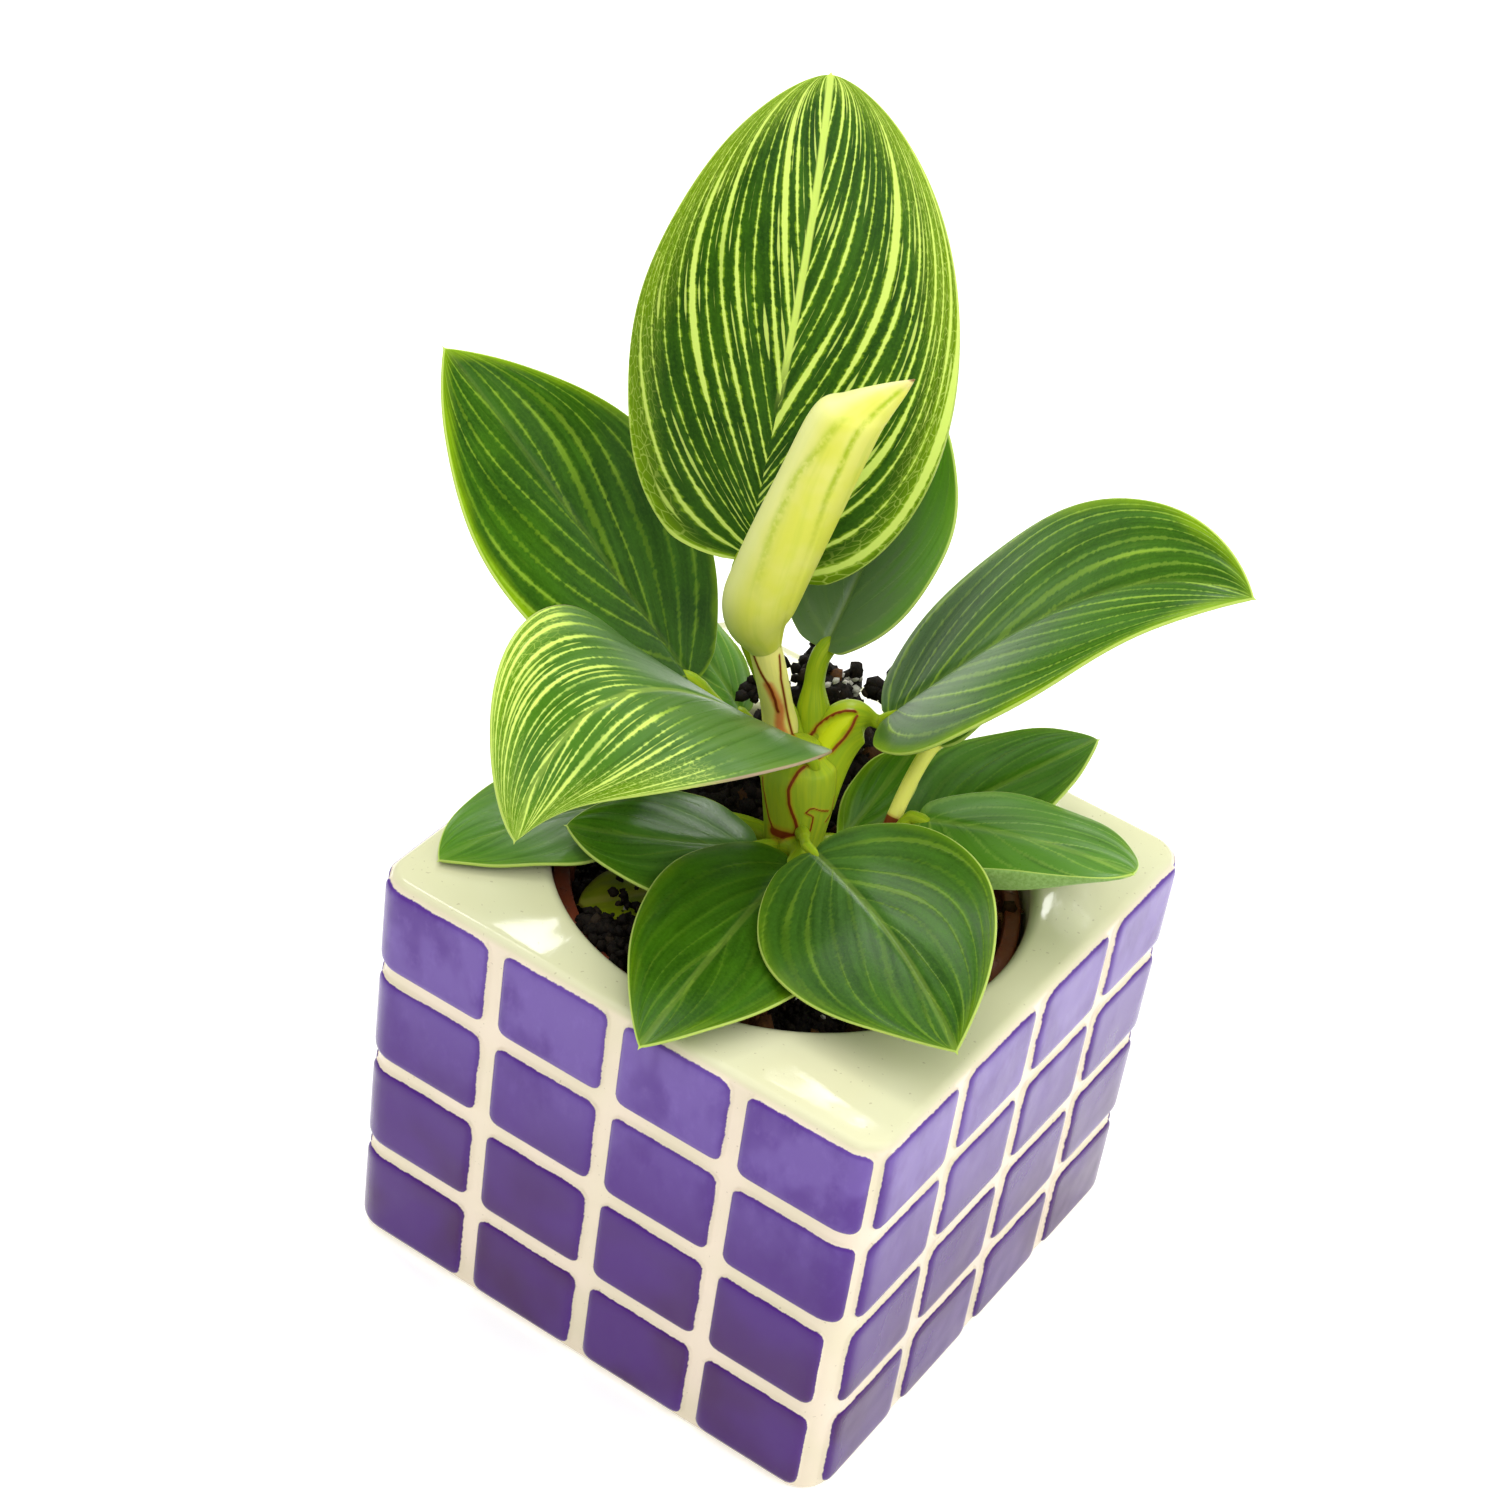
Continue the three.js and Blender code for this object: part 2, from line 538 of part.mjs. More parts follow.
// Height of the soil: nearly level, lumpy, with a mound along the back of the pot.
function soilHeight(x, y) {
  const radius = Math.hypot(x, y);
  const bearing = THREE.MathUtils.radToDeg(Math.atan2(y, x));
  const mound = MOUND_HEIGHT * Math.exp(-(((bearing - MOUND_BEARING) / MOUND_SPREAD) ** 2))
    * Math.exp(-(((Math.min(radius, 30) - 30) / 7) ** 2));
  const lumps = 0.9 * Math.sin(0.55 * x + 1) * Math.sin(0.5 * y + 2)
    + 0.5 * Math.sin(1.1 * x - 0.7 * y);
  const shoulder = 3 * (radius / 34) ** 6; // the edge has settled
  return SOIL_LEVEL + mound + lumps - shoulder;
}

function soilGeometry() {
  const edge = (z) => potRadius(z) - POT_WALL - GAP;
  const radii = [2, 8, 14, 19, 24, 28, 31, 1];
  const ringAt = (radiusAt, heightAt) => {
    const ring = [];
    for (let j = 0; j < ROUND_SIDES; j += 1) {
      const angle = (2 * Math.PI * j) / ROUND_SIDES;
      const radius = radiusAt(angle);
      const x = radius * Math.cos(angle);
      const y = radius * Math.sin(angle);
      ring.push(new THREE.Vector3(x, y, heightAt(x, y)));
    }
    return ring;
  };
  const floor = POT_FLOOR + POT_WALL + GAP;
  const rings = [ringAt(() => 6, () => floor), ringAt(() => edge(floor), () => floor)];
  const rim = edge(SOIL_LEVEL - 7);
  rings.push(ringAt(() => rim, () => SOIL_LEVEL - 7));
  const inner = radii.slice(0, -1).reverse();
  rings.push(ringAt(() => rim, (x, y) => soilHeight(x, y) - 1.5));
  for (const radius of inner) rings.push(ringAt(() => radius, soilHeight));
  const ball = toManifold(skin(rings));
  const hole = (x, y, radius, bottom) => {
    const drill = new THREE.CylinderGeometry(radius, radius, 60, 16);
    return toManifold(drill.rotateX(Math.PI / 2).translate(x, y, bottom + 30));
  };
  const [stemX, stemY, stemFoot] = STEM_LINE[0];
  const [stalkX, stalkY, stalkFoot] = LEAVES.leaf_14.from;
  return fromManifold(ball
    .subtract(hole(stemX, stemY, STEM_RADIUS + 2 * GAP, stemFoot - GAP))
    .subtract(hole(stalkX, stalkY, LEAVES.leaf_14.stalk * 2 + 3 * GAP, stalkFoot - 1)));
}

// ---------------------------------------------------------------- materials and scene

const finish = (color, roughness) => new THREE.MeshStandardMaterial(
  { color, roughness, metalness: 0 });
const GLAZE = finish('#efe9d2', 0.2);
const TERRACOTTA = finish('#7a3d26', 0.5);
const PEAT = finish('#17120e', 0.95);
const STALK_GREEN = finish('#a9bf1e', 0.4);
const YELLOW_STALK = finish('#e2e25a', 0.4);
const LEAF_GREEN = finish('#2f6410', 0.35);
const PALE_LEAF = finish('#e6e88a', 0.4);
const OLIVE = finish('#7f8a1c', 0.5);

const plant = new THREE.Group();

function addPiece(name, geometry, material) {
  const mesh = new THREE.Mesh(geometry, material);
  mesh.name = name;
  plant.add(mesh);
}

addPiece('planter', planterGeometry(), GLAZE);
addPiece('nursery_pot', nurseryPotGeometry(), TERRACOTTA);
addPiece('soil', soilGeometry(), PEAT);
addPiece('stem', stemGeometry(), STALK_GREEN);
for (const [name, leaf] of Object.entries(LEAVES)) {
  addPiece(name, bladeGeometry(leaf), LEAF_GREEN);
}
addPiece('stalk_14', leafStalk(LEAVES.leaf_14), YELLOW_STALK);
addPiece('new_leaf', newLeafGeometry(), PALE_LEAF);
addPiece('old_leaf', bladeGeometry(OLD_LEAF), OLIVE);

export default plant;
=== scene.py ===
# %% [markdown]
# # Philodendron birkin in a tiled planter
#
# This lesson dresses a fixed solid model of a young pin-striped house plant. The plant grows in
# a thin plastic nursery pot, which stands in a square glazed planter with raised purple tiles.
# Every solid stays where it is: each piece below is a finer surface over the same dimensions,
# worked out with numpy and given a material of its own.

import math
from functools import partial

import bmesh
import bpy
import numpy as np
from mathutils import Matrix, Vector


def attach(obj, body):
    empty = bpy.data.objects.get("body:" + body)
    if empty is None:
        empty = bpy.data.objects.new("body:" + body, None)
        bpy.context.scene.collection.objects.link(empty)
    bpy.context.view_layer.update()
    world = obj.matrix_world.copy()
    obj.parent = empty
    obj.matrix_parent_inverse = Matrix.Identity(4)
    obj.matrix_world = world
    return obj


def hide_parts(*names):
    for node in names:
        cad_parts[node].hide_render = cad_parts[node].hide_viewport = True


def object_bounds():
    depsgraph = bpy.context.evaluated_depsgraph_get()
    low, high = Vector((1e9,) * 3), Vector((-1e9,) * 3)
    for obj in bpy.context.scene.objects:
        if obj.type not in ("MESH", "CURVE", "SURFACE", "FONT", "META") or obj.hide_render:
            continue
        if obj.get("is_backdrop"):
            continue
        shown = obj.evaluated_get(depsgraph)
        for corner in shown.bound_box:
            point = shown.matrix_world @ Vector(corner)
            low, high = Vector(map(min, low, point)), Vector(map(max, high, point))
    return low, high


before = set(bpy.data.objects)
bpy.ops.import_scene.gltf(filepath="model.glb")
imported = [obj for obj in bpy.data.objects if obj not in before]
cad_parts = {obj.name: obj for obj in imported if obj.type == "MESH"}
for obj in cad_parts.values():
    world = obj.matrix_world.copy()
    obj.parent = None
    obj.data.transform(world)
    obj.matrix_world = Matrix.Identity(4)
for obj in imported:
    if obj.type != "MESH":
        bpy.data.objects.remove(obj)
cad_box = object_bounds()
print("solids in the fixed model:", len(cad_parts))

# %% [markdown]
# ## Skins of rings
#
# Almost everything here, from a leaf to the planter, is a closed skin over rings of points. A
# leaf is a flat tube with a ring at each place along its midrib, and the planter is a wide one
# with a ring at each height. Blender could loft curves or subdivide a cage, but a grid worked
# out as one array keeps every real size exact and gives each point its own marks, such as how
# far it lies from the margin, which the materials read later as attributes.

# %% Arrays, skins and pieces
MM = 0.001


def smooth(low, high, value):
    """0 below low, 1 above high and 3t^2 - 2t^3 between."""
    t = np.clip((value - low) / (high - low), 0, 1)
    return t * t * (3 - 2 * t)


def unit(v):
    """Each vector divided by its own length."""
    return v / np.linalg.norm(v, axis=-1, keepdims=True)


def skin(rings, marks):
    """A closed shell: quads round each pair of rings, and a fan to the middle of both end rings."""
    count, columns = rings.shape[:2]
    i = np.arange(count - 1)[:, None] * columns
    j = np.arange(columns)[None, :]
    k = (j + 1) % columns
    quads = np.stack([i + j, i + k, i + columns + k, i + columns + j], -1).reshape(-1, 4)
    hubs = count * columns + np.arange(2)
    last = (count - 1) * columns
    first_fan = np.stack([np.full(columns, hubs[0]), k[0], j[0]], -1)
    last_fan = np.stack([np.full(columns, hubs[1]), last + j[0], last + k[0]], -1)
    points = np.concatenate([rings.reshape(-1, 3), rings[[0, -1]].mean(1)])
    flat = {}
    for name, values in marks.items():
        grid = np.broadcast_to(values, (count, columns)).astype(float)
        flat[name] = np.concatenate([grid.ravel(), grid[[0, -1]].mean(1)])
    return points, quads.tolist() + first_fan.tolist() + last_fan.tolist(), flat


def join(shells):
    """Several shells as one: each shell's faces count on from the points before it."""
    starts = np.cumsum([0] + [len(points) for points, _, _ in shells[:-1]])
    points = np.concatenate([shell[0] for shell in shells])
    faces = [[corner + start for corner in face]
             for (_, part, _), start in zip(shells, starts.tolist()) for face in part]
    marks = {name: np.concatenate([shell[2][name] for shell in shells]) for name in shells[0][2]}
    return points, faces, marks


def add_object(name, data, axes=None):
    """A new object in the scene; axes holds its three directions and its place as columns."""
    thing = bpy.data.objects.new(name, data)
    if axes is not None:
        thing.matrix_world = Matrix(axes.tolist() + [[0, 0, 0, 1]])
    bpy.context.scene.collection.objects.link(thing)
    return thing


def make_piece(name, shell, finish, slot, *nodes):
    """A mesh in metres from a shell in millimetres, riding on the one body of this object."""
    points, faces, marks = shell
    mesh = bpy.data.meshes.new(name)
    mesh.from_pydata((points * MM).tolist(), [], faces)
    for mark, values in marks.items():
        layer = mesh.attributes.new(mark, "FLOAT", "POINT")
        layer.data.foreach_set("value", values.astype(np.float32))
    mesh.shade_smooth()
    mesh.materials.append(finish)
    piece = add_object(name, mesh)
    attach(piece, "root")
    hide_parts(*nodes)
    triangles = sum(len(face) - 2 for face in faces)
    print(f"{name}: {len(points)} points, {triangles} triangles")
    return piece


# %% [markdown]
# ## Finishes in nodes
#
# A material here is a small graph of nodes. One helper adds a node, sets it and links it, so a
# finish reads as a list of steps. Most colours are coats: a base, and over it one shade after
# another, each by its own share. Colours are written as the hex values a painter would mix and
# turned to linear light, since that is what the shader adds up.

# %% Node helper and colours
# Each node in use: Blender's type, its options, the inputs that values fill in turn, the output.
NODES = {
    "place": ("ShaderNodeTexCoord", {}, (), "Object"),
    "mark": ("ShaderNodeAttribute", {}, (), "Fac"),
    "height": ("ShaderNodeSeparateXYZ", {}, ("Vector",), "Z"),
    "vector": ("ShaderNodeCombineXYZ", {}, ("X", "Y", "Z"), "Vector"),
    "stretch": ("ShaderNodeMapping", {}, ("Vector", "Scale"), "Vector"),
    "noise": ("ShaderNodeTexNoise", {}, ("Vector", "Scale", "Detail", "Roughness"), "Fac"),
    "net": ("ShaderNodeTexVoronoi", {"feature": "DISTANCE_TO_EDGE"}, ("Vector", "Scale"),
            "Distance"),
    "ramp": ("ShaderNodeMapRange", {"interpolation_type": "SMOOTHSTEP"},
             ("Value", "From Min", "From Max", "To Min", "To Max"), "Result"),
    "mix": ("ShaderNodeMix", {"data_type": "RGBA"}, (0, 6, 7), 2),
    "bump": ("ShaderNodeBump", {}, ("Height", "Distance", "Strength"), "Normal"),
}
for sum_name in ("add", "subtract", "multiply", "multiply_add", "power", "maximum", "absolute",
                 "sign", "floor", "fract"):
    NODES[sum_name] = ("ShaderNodeMath", {"operation": sum_name.upper()}, (0, 1, 2), 0)


def linear(code):
    """An sRGB hex colour as linear light: c/12.92 below 0.04045, else ((c+0.055)/1.055)^2.4."""
    channels = [int(code[i:i + 2], 16) / 255 for i in (1, 3, 5)]
    return tuple(c / 12.92 if c <= 0.04045 else ((c + 0.055) / 1.055) ** 2.4
                 for c in channels) + (1.0,)


def add_node(tree, kind, *values, **options):
    """Adds a node, sets its options, fills its inputs in turn and gives back its output."""
    node_type, usual, inputs, output = NODES[kind]
    node = tree.nodes.new(node_type)
    for key, value in (usual | options).items():
        setattr(node, key, value)
    fill(tree, node, dict(zip(inputs, values)))
    return node.outputs[output]


def fill(tree, node, inputs):
    """Each input takes a link, a number, a colour as #hex, or a mark of the mesh by its name."""
    for key, value in inputs.items():
        if isinstance(value, str) and value[0] != "#":
            value = add_node(tree, "mark", attribute_name=value)
        if isinstance(value, bpy.types.NodeSocket):
            tree.links.new(value, node.inputs[key])
        else:
            node.inputs[key].default_value = linear(value) if isinstance(value, str) else value


def new_finish(name):
    """An empty material, and the helper that adds nodes to it."""
    finish = bpy.data.materials.new(name)
    finish.use_nodes = True
    return finish, partial(add_node, finish.node_tree)


def set_shader(finish, inputs, relief=None, depth_mm=0.0, strength=0.0):
    """Fills the shader's inputs; a relief also tilts the surface, as a bump of this depth."""
    tree = finish.node_tree
    if relief is not None:
        inputs = inputs | {"Normal": add_node(tree, "bump", relief, depth_mm * MM, strength)}
    fill(tree, tree.nodes["Principled BSDF"], inputs)
    return finish


def coats(add, shade, *layers):
    """Lays (share, colour) pairs over a shade, one after the other."""
    for share, colour in layers:
        shade = add("mix", share, shade, colour)
    return shade


def per(size_mm):
    """The scale of a noise whose lumps are about this size, where places are in metres."""
    return 1 / (size_mm * MM)


def lit_through(weight, *reach_mm):
    """Light that soaks in and comes out again: its share, and the reach of red, green and blue."""
    return {"Subsurface Weight": weight, "Subsurface Radius": [mm * MM for mm in reach_mm],
            "Subsurface Scale": 1.0}


print("kinds of node:", len(NODES))


# %% [markdown]
# ## Camera
#
# The camera looks down from above the front right corner, tipped a little to one side. A long
# lens keeps the planter's upright edges nearly parallel. The camera's three directions are
# written down as they are, because together they are its rotation.

# %% Camera
CAMERA_PLACE = (185.84, -349.09, 407.63)
CAMERA_RIGHT = (0.8165, 0.5654, 0.1172)
CAMERA_UP = (-0.4308, 0.4614, 0.7755)
CAMERA_AHEAD = (-0.3844, 0.6837, -0.6203)
FOCAL_LENGTH = 80.5
SENSOR_WIDTH = 36

lens = bpy.data.cameras.new("camera")
lens.lens = FOCAL_LENGTH
lens.sensor_width = SENSOR_WIDTH
lens.clip_start = 0.01
camera = add_object("camera", lens, np.column_stack(
    [CAMERA_RIGHT, CAMERA_UP, -np.array(CAMERA_AHEAD), np.array(CAMERA_PLACE) * MM]))
bpy.context.scene.camera = camera
print("camera height:", round(camera.matrix_world.translation.z, 3), "m")

# %% [markdown]
# ## Glazed planter
#
# The planter is slip-cast earthenware: one block with a round well, low tiles pressed into its
# four walls, and a clear gloss glaze over cream and hand-brushed purple. It could be cut from a
# cube with booleans and bevels, but the soft swell of each tile under its glaze is easier as a
# height added to a wall. The wall is unrolled: one number runs round it, one runs up it, and the
# distance to the nearest tile's edge gives both the swell and where the purple paint stops.

# %% Planter dimensions
PLANTER_WIDTH = 92
PLANTER_HEIGHT = 75
CORNER_RADIUS = 6
TILE_RELIEF = 0.8
TILE_PITCH = 22
TILE_ROW = PLANTER_HEIGHT / 4
GROUT = 3.5
TILE_CORNER = 1.5
WELL_RADIUS = 37.2
WELL_FLOOR = 6
LIP_RADIUS = 2
EDGE_RADIUS = 1.6  # round-over where the walls meet the top
FOOT_RADIUS = 1.2
HALF_WALL = PLANTER_WIDTH / 2 - CORNER_RADIUS + CORNER_RADIUS * math.pi / 4  # unrolled
WALL_COLUMNS = 112
WALL_ROWS = 84

# The end tiles of the front and back walls run on round the corners by this much: the left one
# in every row, the right one in the two upper rows.
LEFT_REACH = (3.4, 0, 3.4, 0)
RIGHT_REACH = (2.3, 0, 2.3, 0)


# %% Tiles on an unrolled wall
def crowded(edges, low, high, count, reach=1.6, closest=0.22, widest=2.6):
    """count places from low to high, packed close together within reach of each edge.

    The density is 1 / spacing, with spacing growing from closest at an edge to widest away from
    it; equal steps of its running sum give the places."""
    line = np.linspace(low, high, 8001)
    nearest = np.abs(line[:, None] - np.asarray(edges)[None, :]).min(1)
    spacing = closest + (widest - closest) * smooth(0, reach * 2, nearest)
    total = np.concatenate([[0], np.cumsum(np.diff(line) / spacing[1:])])
    return np.interp(np.linspace(0, total[-1], count), total, line)


def tile_depth(across, height, wall):
    """How far inside the nearest tile a point of one wall lies, in mm, negative on the grout.

    Each tile is a rectangle with round corners: the distance is the corner radius less the
    length of the part of (|offset| - half size + radius) that is above 0."""
    half_height = (TILE_ROW - GROUT) / 2
    row = np.clip(np.floor(height / TILE_ROW), 0, 3)
    up = np.abs(height - (row + 0.5) * TILE_ROW)
    column = np.clip(np.round(across / TILE_PITCH + 1.5), 0, 3)
    left = LEFT_REACH[wall] * (column < 0.5)
    right = RIGHT_REACH[wall] * (row > 1.5) * (column > 2.5)
    half_width = (TILE_PITCH - GROUT + left + right) / 2
    over = np.abs(across - (column - 1.5) * TILE_PITCH - (right - left) / 2)
    out = np.stack([over - half_width + TILE_CORNER, up - half_height + TILE_CORNER])
    inside = np.minimum(out.max(0), 0)
    return TILE_CORNER - np.linalg.norm(np.maximum(out, 0), axis=0) - inside


def wall_depth(across, height, wall):
    """The deepest of this wall's tiles and those that reach round from the walls beside it."""
    beside = [tile_depth(across + side * 2 * HALF_WALL, height, (wall - side) % 4)
              for side in (-1, 0, 1)]
    return np.max(beside, axis=0)


def wall_path(across, inset):
    """The rounded square at a distance inside its faces, for one wall towards -Y.

    Straight between the corners, then an arc of CORNER_RADIUS - inset round each."""
    flat = PLANTER_WIDTH / 2 - CORNER_RADIUS
    angle = np.clip(np.abs(across) - flat, 0, None) / CORNER_RADIUS * np.sign(across)
    normal = np.stack([np.sin(angle), -np.cos(angle)], -1)
    centre = np.stack([np.clip(across, -flat, flat), np.full_like(across, -flat)], -1)
    return centre + normal * (CORNER_RADIUS - inset)[..., None]


print("round the planter:", round(8 * HALF_WALL, 1), "mm")

# %% Planter shell
def all_round(columns):
    """Equal angles all round, from 0."""
    return np.arange(columns) * 2 * math.pi / columns


def unit_circle(angle):
    """(cos, sin) of each angle."""
    return np.stack([np.cos(angle), np.sin(angle)], -1)


def at_heights(flat, heights):
    """Rings of (x, y) points, each ring lifted to its own height."""
    z = np.broadcast_to(np.asarray(heights, float)[:, None, None], flat.shape[:2] + (1,))
    return np.concatenate([flat, z], -1)


def planter_shell():
    """Rings from the middle of the underside, up the walls, over the top and down into the well.

    Wall height = relief x quarter ellipse of the depth inside a tile; the top edge, foot and lip
    are quarter circles; on the top each ring moves from the rounded square to the circle."""
    column_middles = (np.arange(4) - 1.5) * TILE_PITCH
    tile_edges = np.concatenate([column_middles - (TILE_PITCH - GROUT) / 2,
                                 column_middles + (TILE_PITCH - GROUT) / 2])
    edges = np.append(tile_edges, [tile_edges[-1] + max(RIGHT_REACH), -HALF_WALL, HALF_WALL])
    across = crowded(edges, -HALF_WALL, HALF_WALL, WALL_COLUMNS)[:-1]
    row_edges = np.concatenate([np.arange(4) * TILE_ROW + GROUT / 2,
                                np.arange(1, 5) * TILE_ROW - GROUT / 2])
    wall = crowded(row_edges, FOOT_RADIUS, PLANTER_HEIGHT - EDGE_RADIUS, WALL_ROWS)
    step = np.linspace(0, math.pi / 2, 7)
    inset = np.concatenate([FOOT_RADIUS * (1 - np.sin(step)), np.zeros(len(wall) - 2),
                            EDGE_RADIUS * (1 - np.cos(step))])
    height = np.concatenate([FOOT_RADIUS * (1 - np.cos(step)), wall[1:-1],
                             PLANTER_HEIGHT - EDGE_RADIUS * (1 - np.sin(step))])
    grid_across, grid_height = np.meshgrid(across, height)
    depth = np.stack([wall_depth(grid_across, grid_height, face) for face in range(4)], 1)
    swell = np.clip((depth + 0.5) / 1.5, 0, 1)
    relief = TILE_RELIEF * np.sqrt(1 - (1 - swell) ** 2)
    side = wall_path(grid_across[:, None], inset[:, None, None] + TILE_RELIEF - relief)
    turns = all_round(4)[:, None]
    x = side[..., 0] * np.cos(turns) - side[..., 1] * np.sin(turns)
    y = side[..., 0] * np.sin(turns) + side[..., 1] * np.cos(turns)
    outer = at_heights(np.stack([x, y], -1).reshape(len(height), -1, 2), height)
    edge = outer[-1, :, :2]
    circle = unit_circle(np.arctan2(edge[:, 1], edge[:, 0]))
    share = np.linspace(0, 1, 9)[1:, None, None]
    mouth = circle * (WELL_RADIUS + LIP_RADIUS)
    top = at_heights(edge * (1 - share) + mouth * share, np.full(len(share), PLANTER_HEIGHT))
    lip_turn = np.linspace(math.pi / 2, 0, 8)[1:]
    radii = np.concatenate([WELL_RADIUS + LIP_RADIUS * (1 - np.cos(lip_turn)),
                            np.full(5, WELL_RADIUS), [WELL_RADIUS - 0.6, WELL_RADIUS - 2, 18, 1]])
    heights = np.concatenate([PLANTER_HEIGHT - LIP_RADIUS + LIP_RADIUS * np.sin(lip_turn),
                              np.linspace(PLANTER_HEIGHT - 5, WELL_FLOOR + 2, 5),
                              [WELL_FLOOR + 0.6, WELL_FLOOR, WELL_FLOOR, WELL_FLOOR]])
    well = at_heights(circle * radii[:, None, None], heights)
    under_share = np.array([0.03, 0.6, 0.93])
    under = at_heights(outer[0, :, :2] * under_share[:, None, None], np.zeros(3))
    rings = np.concatenate([under, outer, top, well])
    tile = np.full(rings.shape[:2], -5.0)
    tile[3:3 + len(height)] = depth.reshape(len(height), -1)
    bare = np.zeros(rings.shape[:2])
    bare[:4] = 1
    return skin(rings, {"tile": tile, "bare": bare})


# %% [markdown]
# ## Glaze
#
# Glazed earthenware: an opaque body colour under a clear, glassy coat of IOR about 1.5. The
# cream is warmer on the walls than on top, where it is painted greener and darker, painted light
# and shade under the leaves. The purple is brushed on by hand, so its edge wanders by a few tenths
# of a millimetre, and its strokes run up and down. It is painted lighter and milkier towards the
# top, a painted reflection of the bright room, and darker at the rim of each tile, a painted
# shade. The underside is unglazed and chalky.

# %% Glaze finish
TOP_STARTS = PLANTER_HEIGHT - 1.5  # the top face is painted greener and darker than the walls: painted light under the leaves
TOP_ENDS = PLANTER_HEIGHT - 0.2


def glaze_finish():
    """Cream glaze, and purple where the depth inside a tile, made ragged, is above 0."""
    finish, add = new_finish("gloss_glaze_cream_and_purple")
    where = add("place")
    height = add("height", where)
    strokes = add("stretch", where, (1, 1, 0.6))
    brush = add("noise", strokes, per(1.8), 3.0, 0.55)
    thin = add("noise", strokes, per(7.0))
    patch = add("noise", where, per(15.0), 1.0)
    edge = add("multiply_add", add("noise", where, per(4.0)), 0.35, "tile")
    edge = add("multiply_add", add("noise", where, per(0.8), 2.0, 0.6), 0.25, edge)
    painted = add("ramp", edge, -0.10, 0.04)
    # Painted shade: at the rim of each tile the purple stays darker, where the rounded edge turns
    # from the light.
    rim_shade = add("ramp", edge, 0.05, 0.8)
    # Painted reflection: the purple is painted lighter and milkier up the wall, where the glaze
    # would mirror the bright room; the brush and thin patches show mostly there.
    lift = add("ramp", height, 36 * MM, 70 * MM, 0.03, 0.8)
    milky_and_sheen = add("multiply", add("ramp", thin, 0.36, 0.60, 0.25, 0.9), lift)
    stroke_and_sheen = add("multiply", add("ramp", brush, 0.45, 0.75, 0.05, 0.35), lift)
    # Painted reflection: darker purple at the foot, lighter up the wall.
    purple = coats(add, "#3f0f54",
                   (add("ramp", height, 10 * MM, 62 * MM), "#4b2180"),
                   (add("ramp", patch, 0.35, 0.65, 0.0, 0.6), "#4b1c7e"),
                   (milky_and_sheen, "#755ba9"),
                   (stroke_and_sheen, "#7d62b2"),
                   (add("ramp", rim_shade, 0.0, 1.0, 0.35, 0.0), "#4b2280"))
    specks = add("ramp", add("noise", where, per(0.55), 0.0), 0.80, 0.84)
    cream = coats(add, "#ebdcc6",
                  # Painted light: the top face is painted greener and darker than the walls, for
                  # the light and shade under the leaves.
                  (add("ramp", height, TOP_STARTS * MM, TOP_ENDS * MM), "#d6d5b0"),
                  (add("ramp", patch, 0.3, 0.7, 0.0, 0.4), "#d4d0a6"),
                  (add("multiply", specks, 0.35), "#8c7b5c"))
    bare = add("ramp", "bare", 0.4, 0.6)
    ripple = add("multiply_add", add("noise", where, per(9.0), 1.0), 3.0,
                 add("multiply", brush, 0.2))
    colour = coats(add, cream, (painted, purple), (bare, "#e9dfcb"))
    return set_shader(finish, {"Base Color": colour,
                               "Roughness": add("multiply_add", bare, 0.6, 0.10),
                               "IOR": 1.5, "Specular IOR Level": 0.25},
                      add("multiply_add", painted, 0.6, ripple), 0.12, 0.6)


make_piece("planter_glazed", planter_shell(), glaze_finish(), "glaze", "planter")

# %% [markdown]
# ## Nursery pot
#
# The grower's pot is thin injection-moulded polypropylene in a terracotta brown: a tapered wall,
# a taller rim that stands out, and four drain holes. A profile turned round the upright axis
# gives the wall, and a boolean cuts the holes, as the mould's pins would leave them.

# %% Nursery pot
POT_RIM_RADIUS = 36.4
POT_RIM_HEIGHT = 5
POT_TOP = 70
POT_NECK_RADIUS = 34.8
POT_FOOT_RADIUS = 27
POT_WALL = 0.9
POT_FLOOR = WELL_FLOOR + 0.3
DRAIN_RADIUS = 3
DRAIN_CIRCLE = 16
DRAIN_DEPTH = 6
POT_COLUMNS = 144


def pot_radius(height):
    """Outside of the plain wall: a straight taper from foot to neck."""
    share = (height - POT_FLOOR) / (POT_TOP - POT_FLOOR)
    return POT_FOOT_RADIUS + (POT_NECK_RADIUS - POT_FOOT_RADIUS) * share


def turned(profile):
    """Rings of a profile of (radius, height) pairs turned round the upright axis."""
    profile = np.asarray(profile, float)
    circle = unit_circle(all_round(POT_COLUMNS))
    return skin(at_heights(circle * profile[:, None, :1], profile[:, 1]), {})


def moulded_finish():
    """Satin polypropylene: soft gloss, faint flow marks and a dusting of dried peat."""
    finish, add = new_finish("moulded_terracotta_polypropylene")
    where = add("place")
    flow = add("noise", where, per(6.0))
    dust = add("ramp", add("noise", where, per(0.9), 4.0, 0.7), 0.55, 0.75)
    shade = coats(add, "#8a3f24", (flow, "#6f2f1a"), (add("multiply", dust, 0.6), "#2c1a10"))
    return set_shader(finish, {"Base Color": shade,
                               "Roughness": add("ramp", dust, 0.0, 1.0, 0.42, 0.8)},
                      dust, 0.15, 0.7)


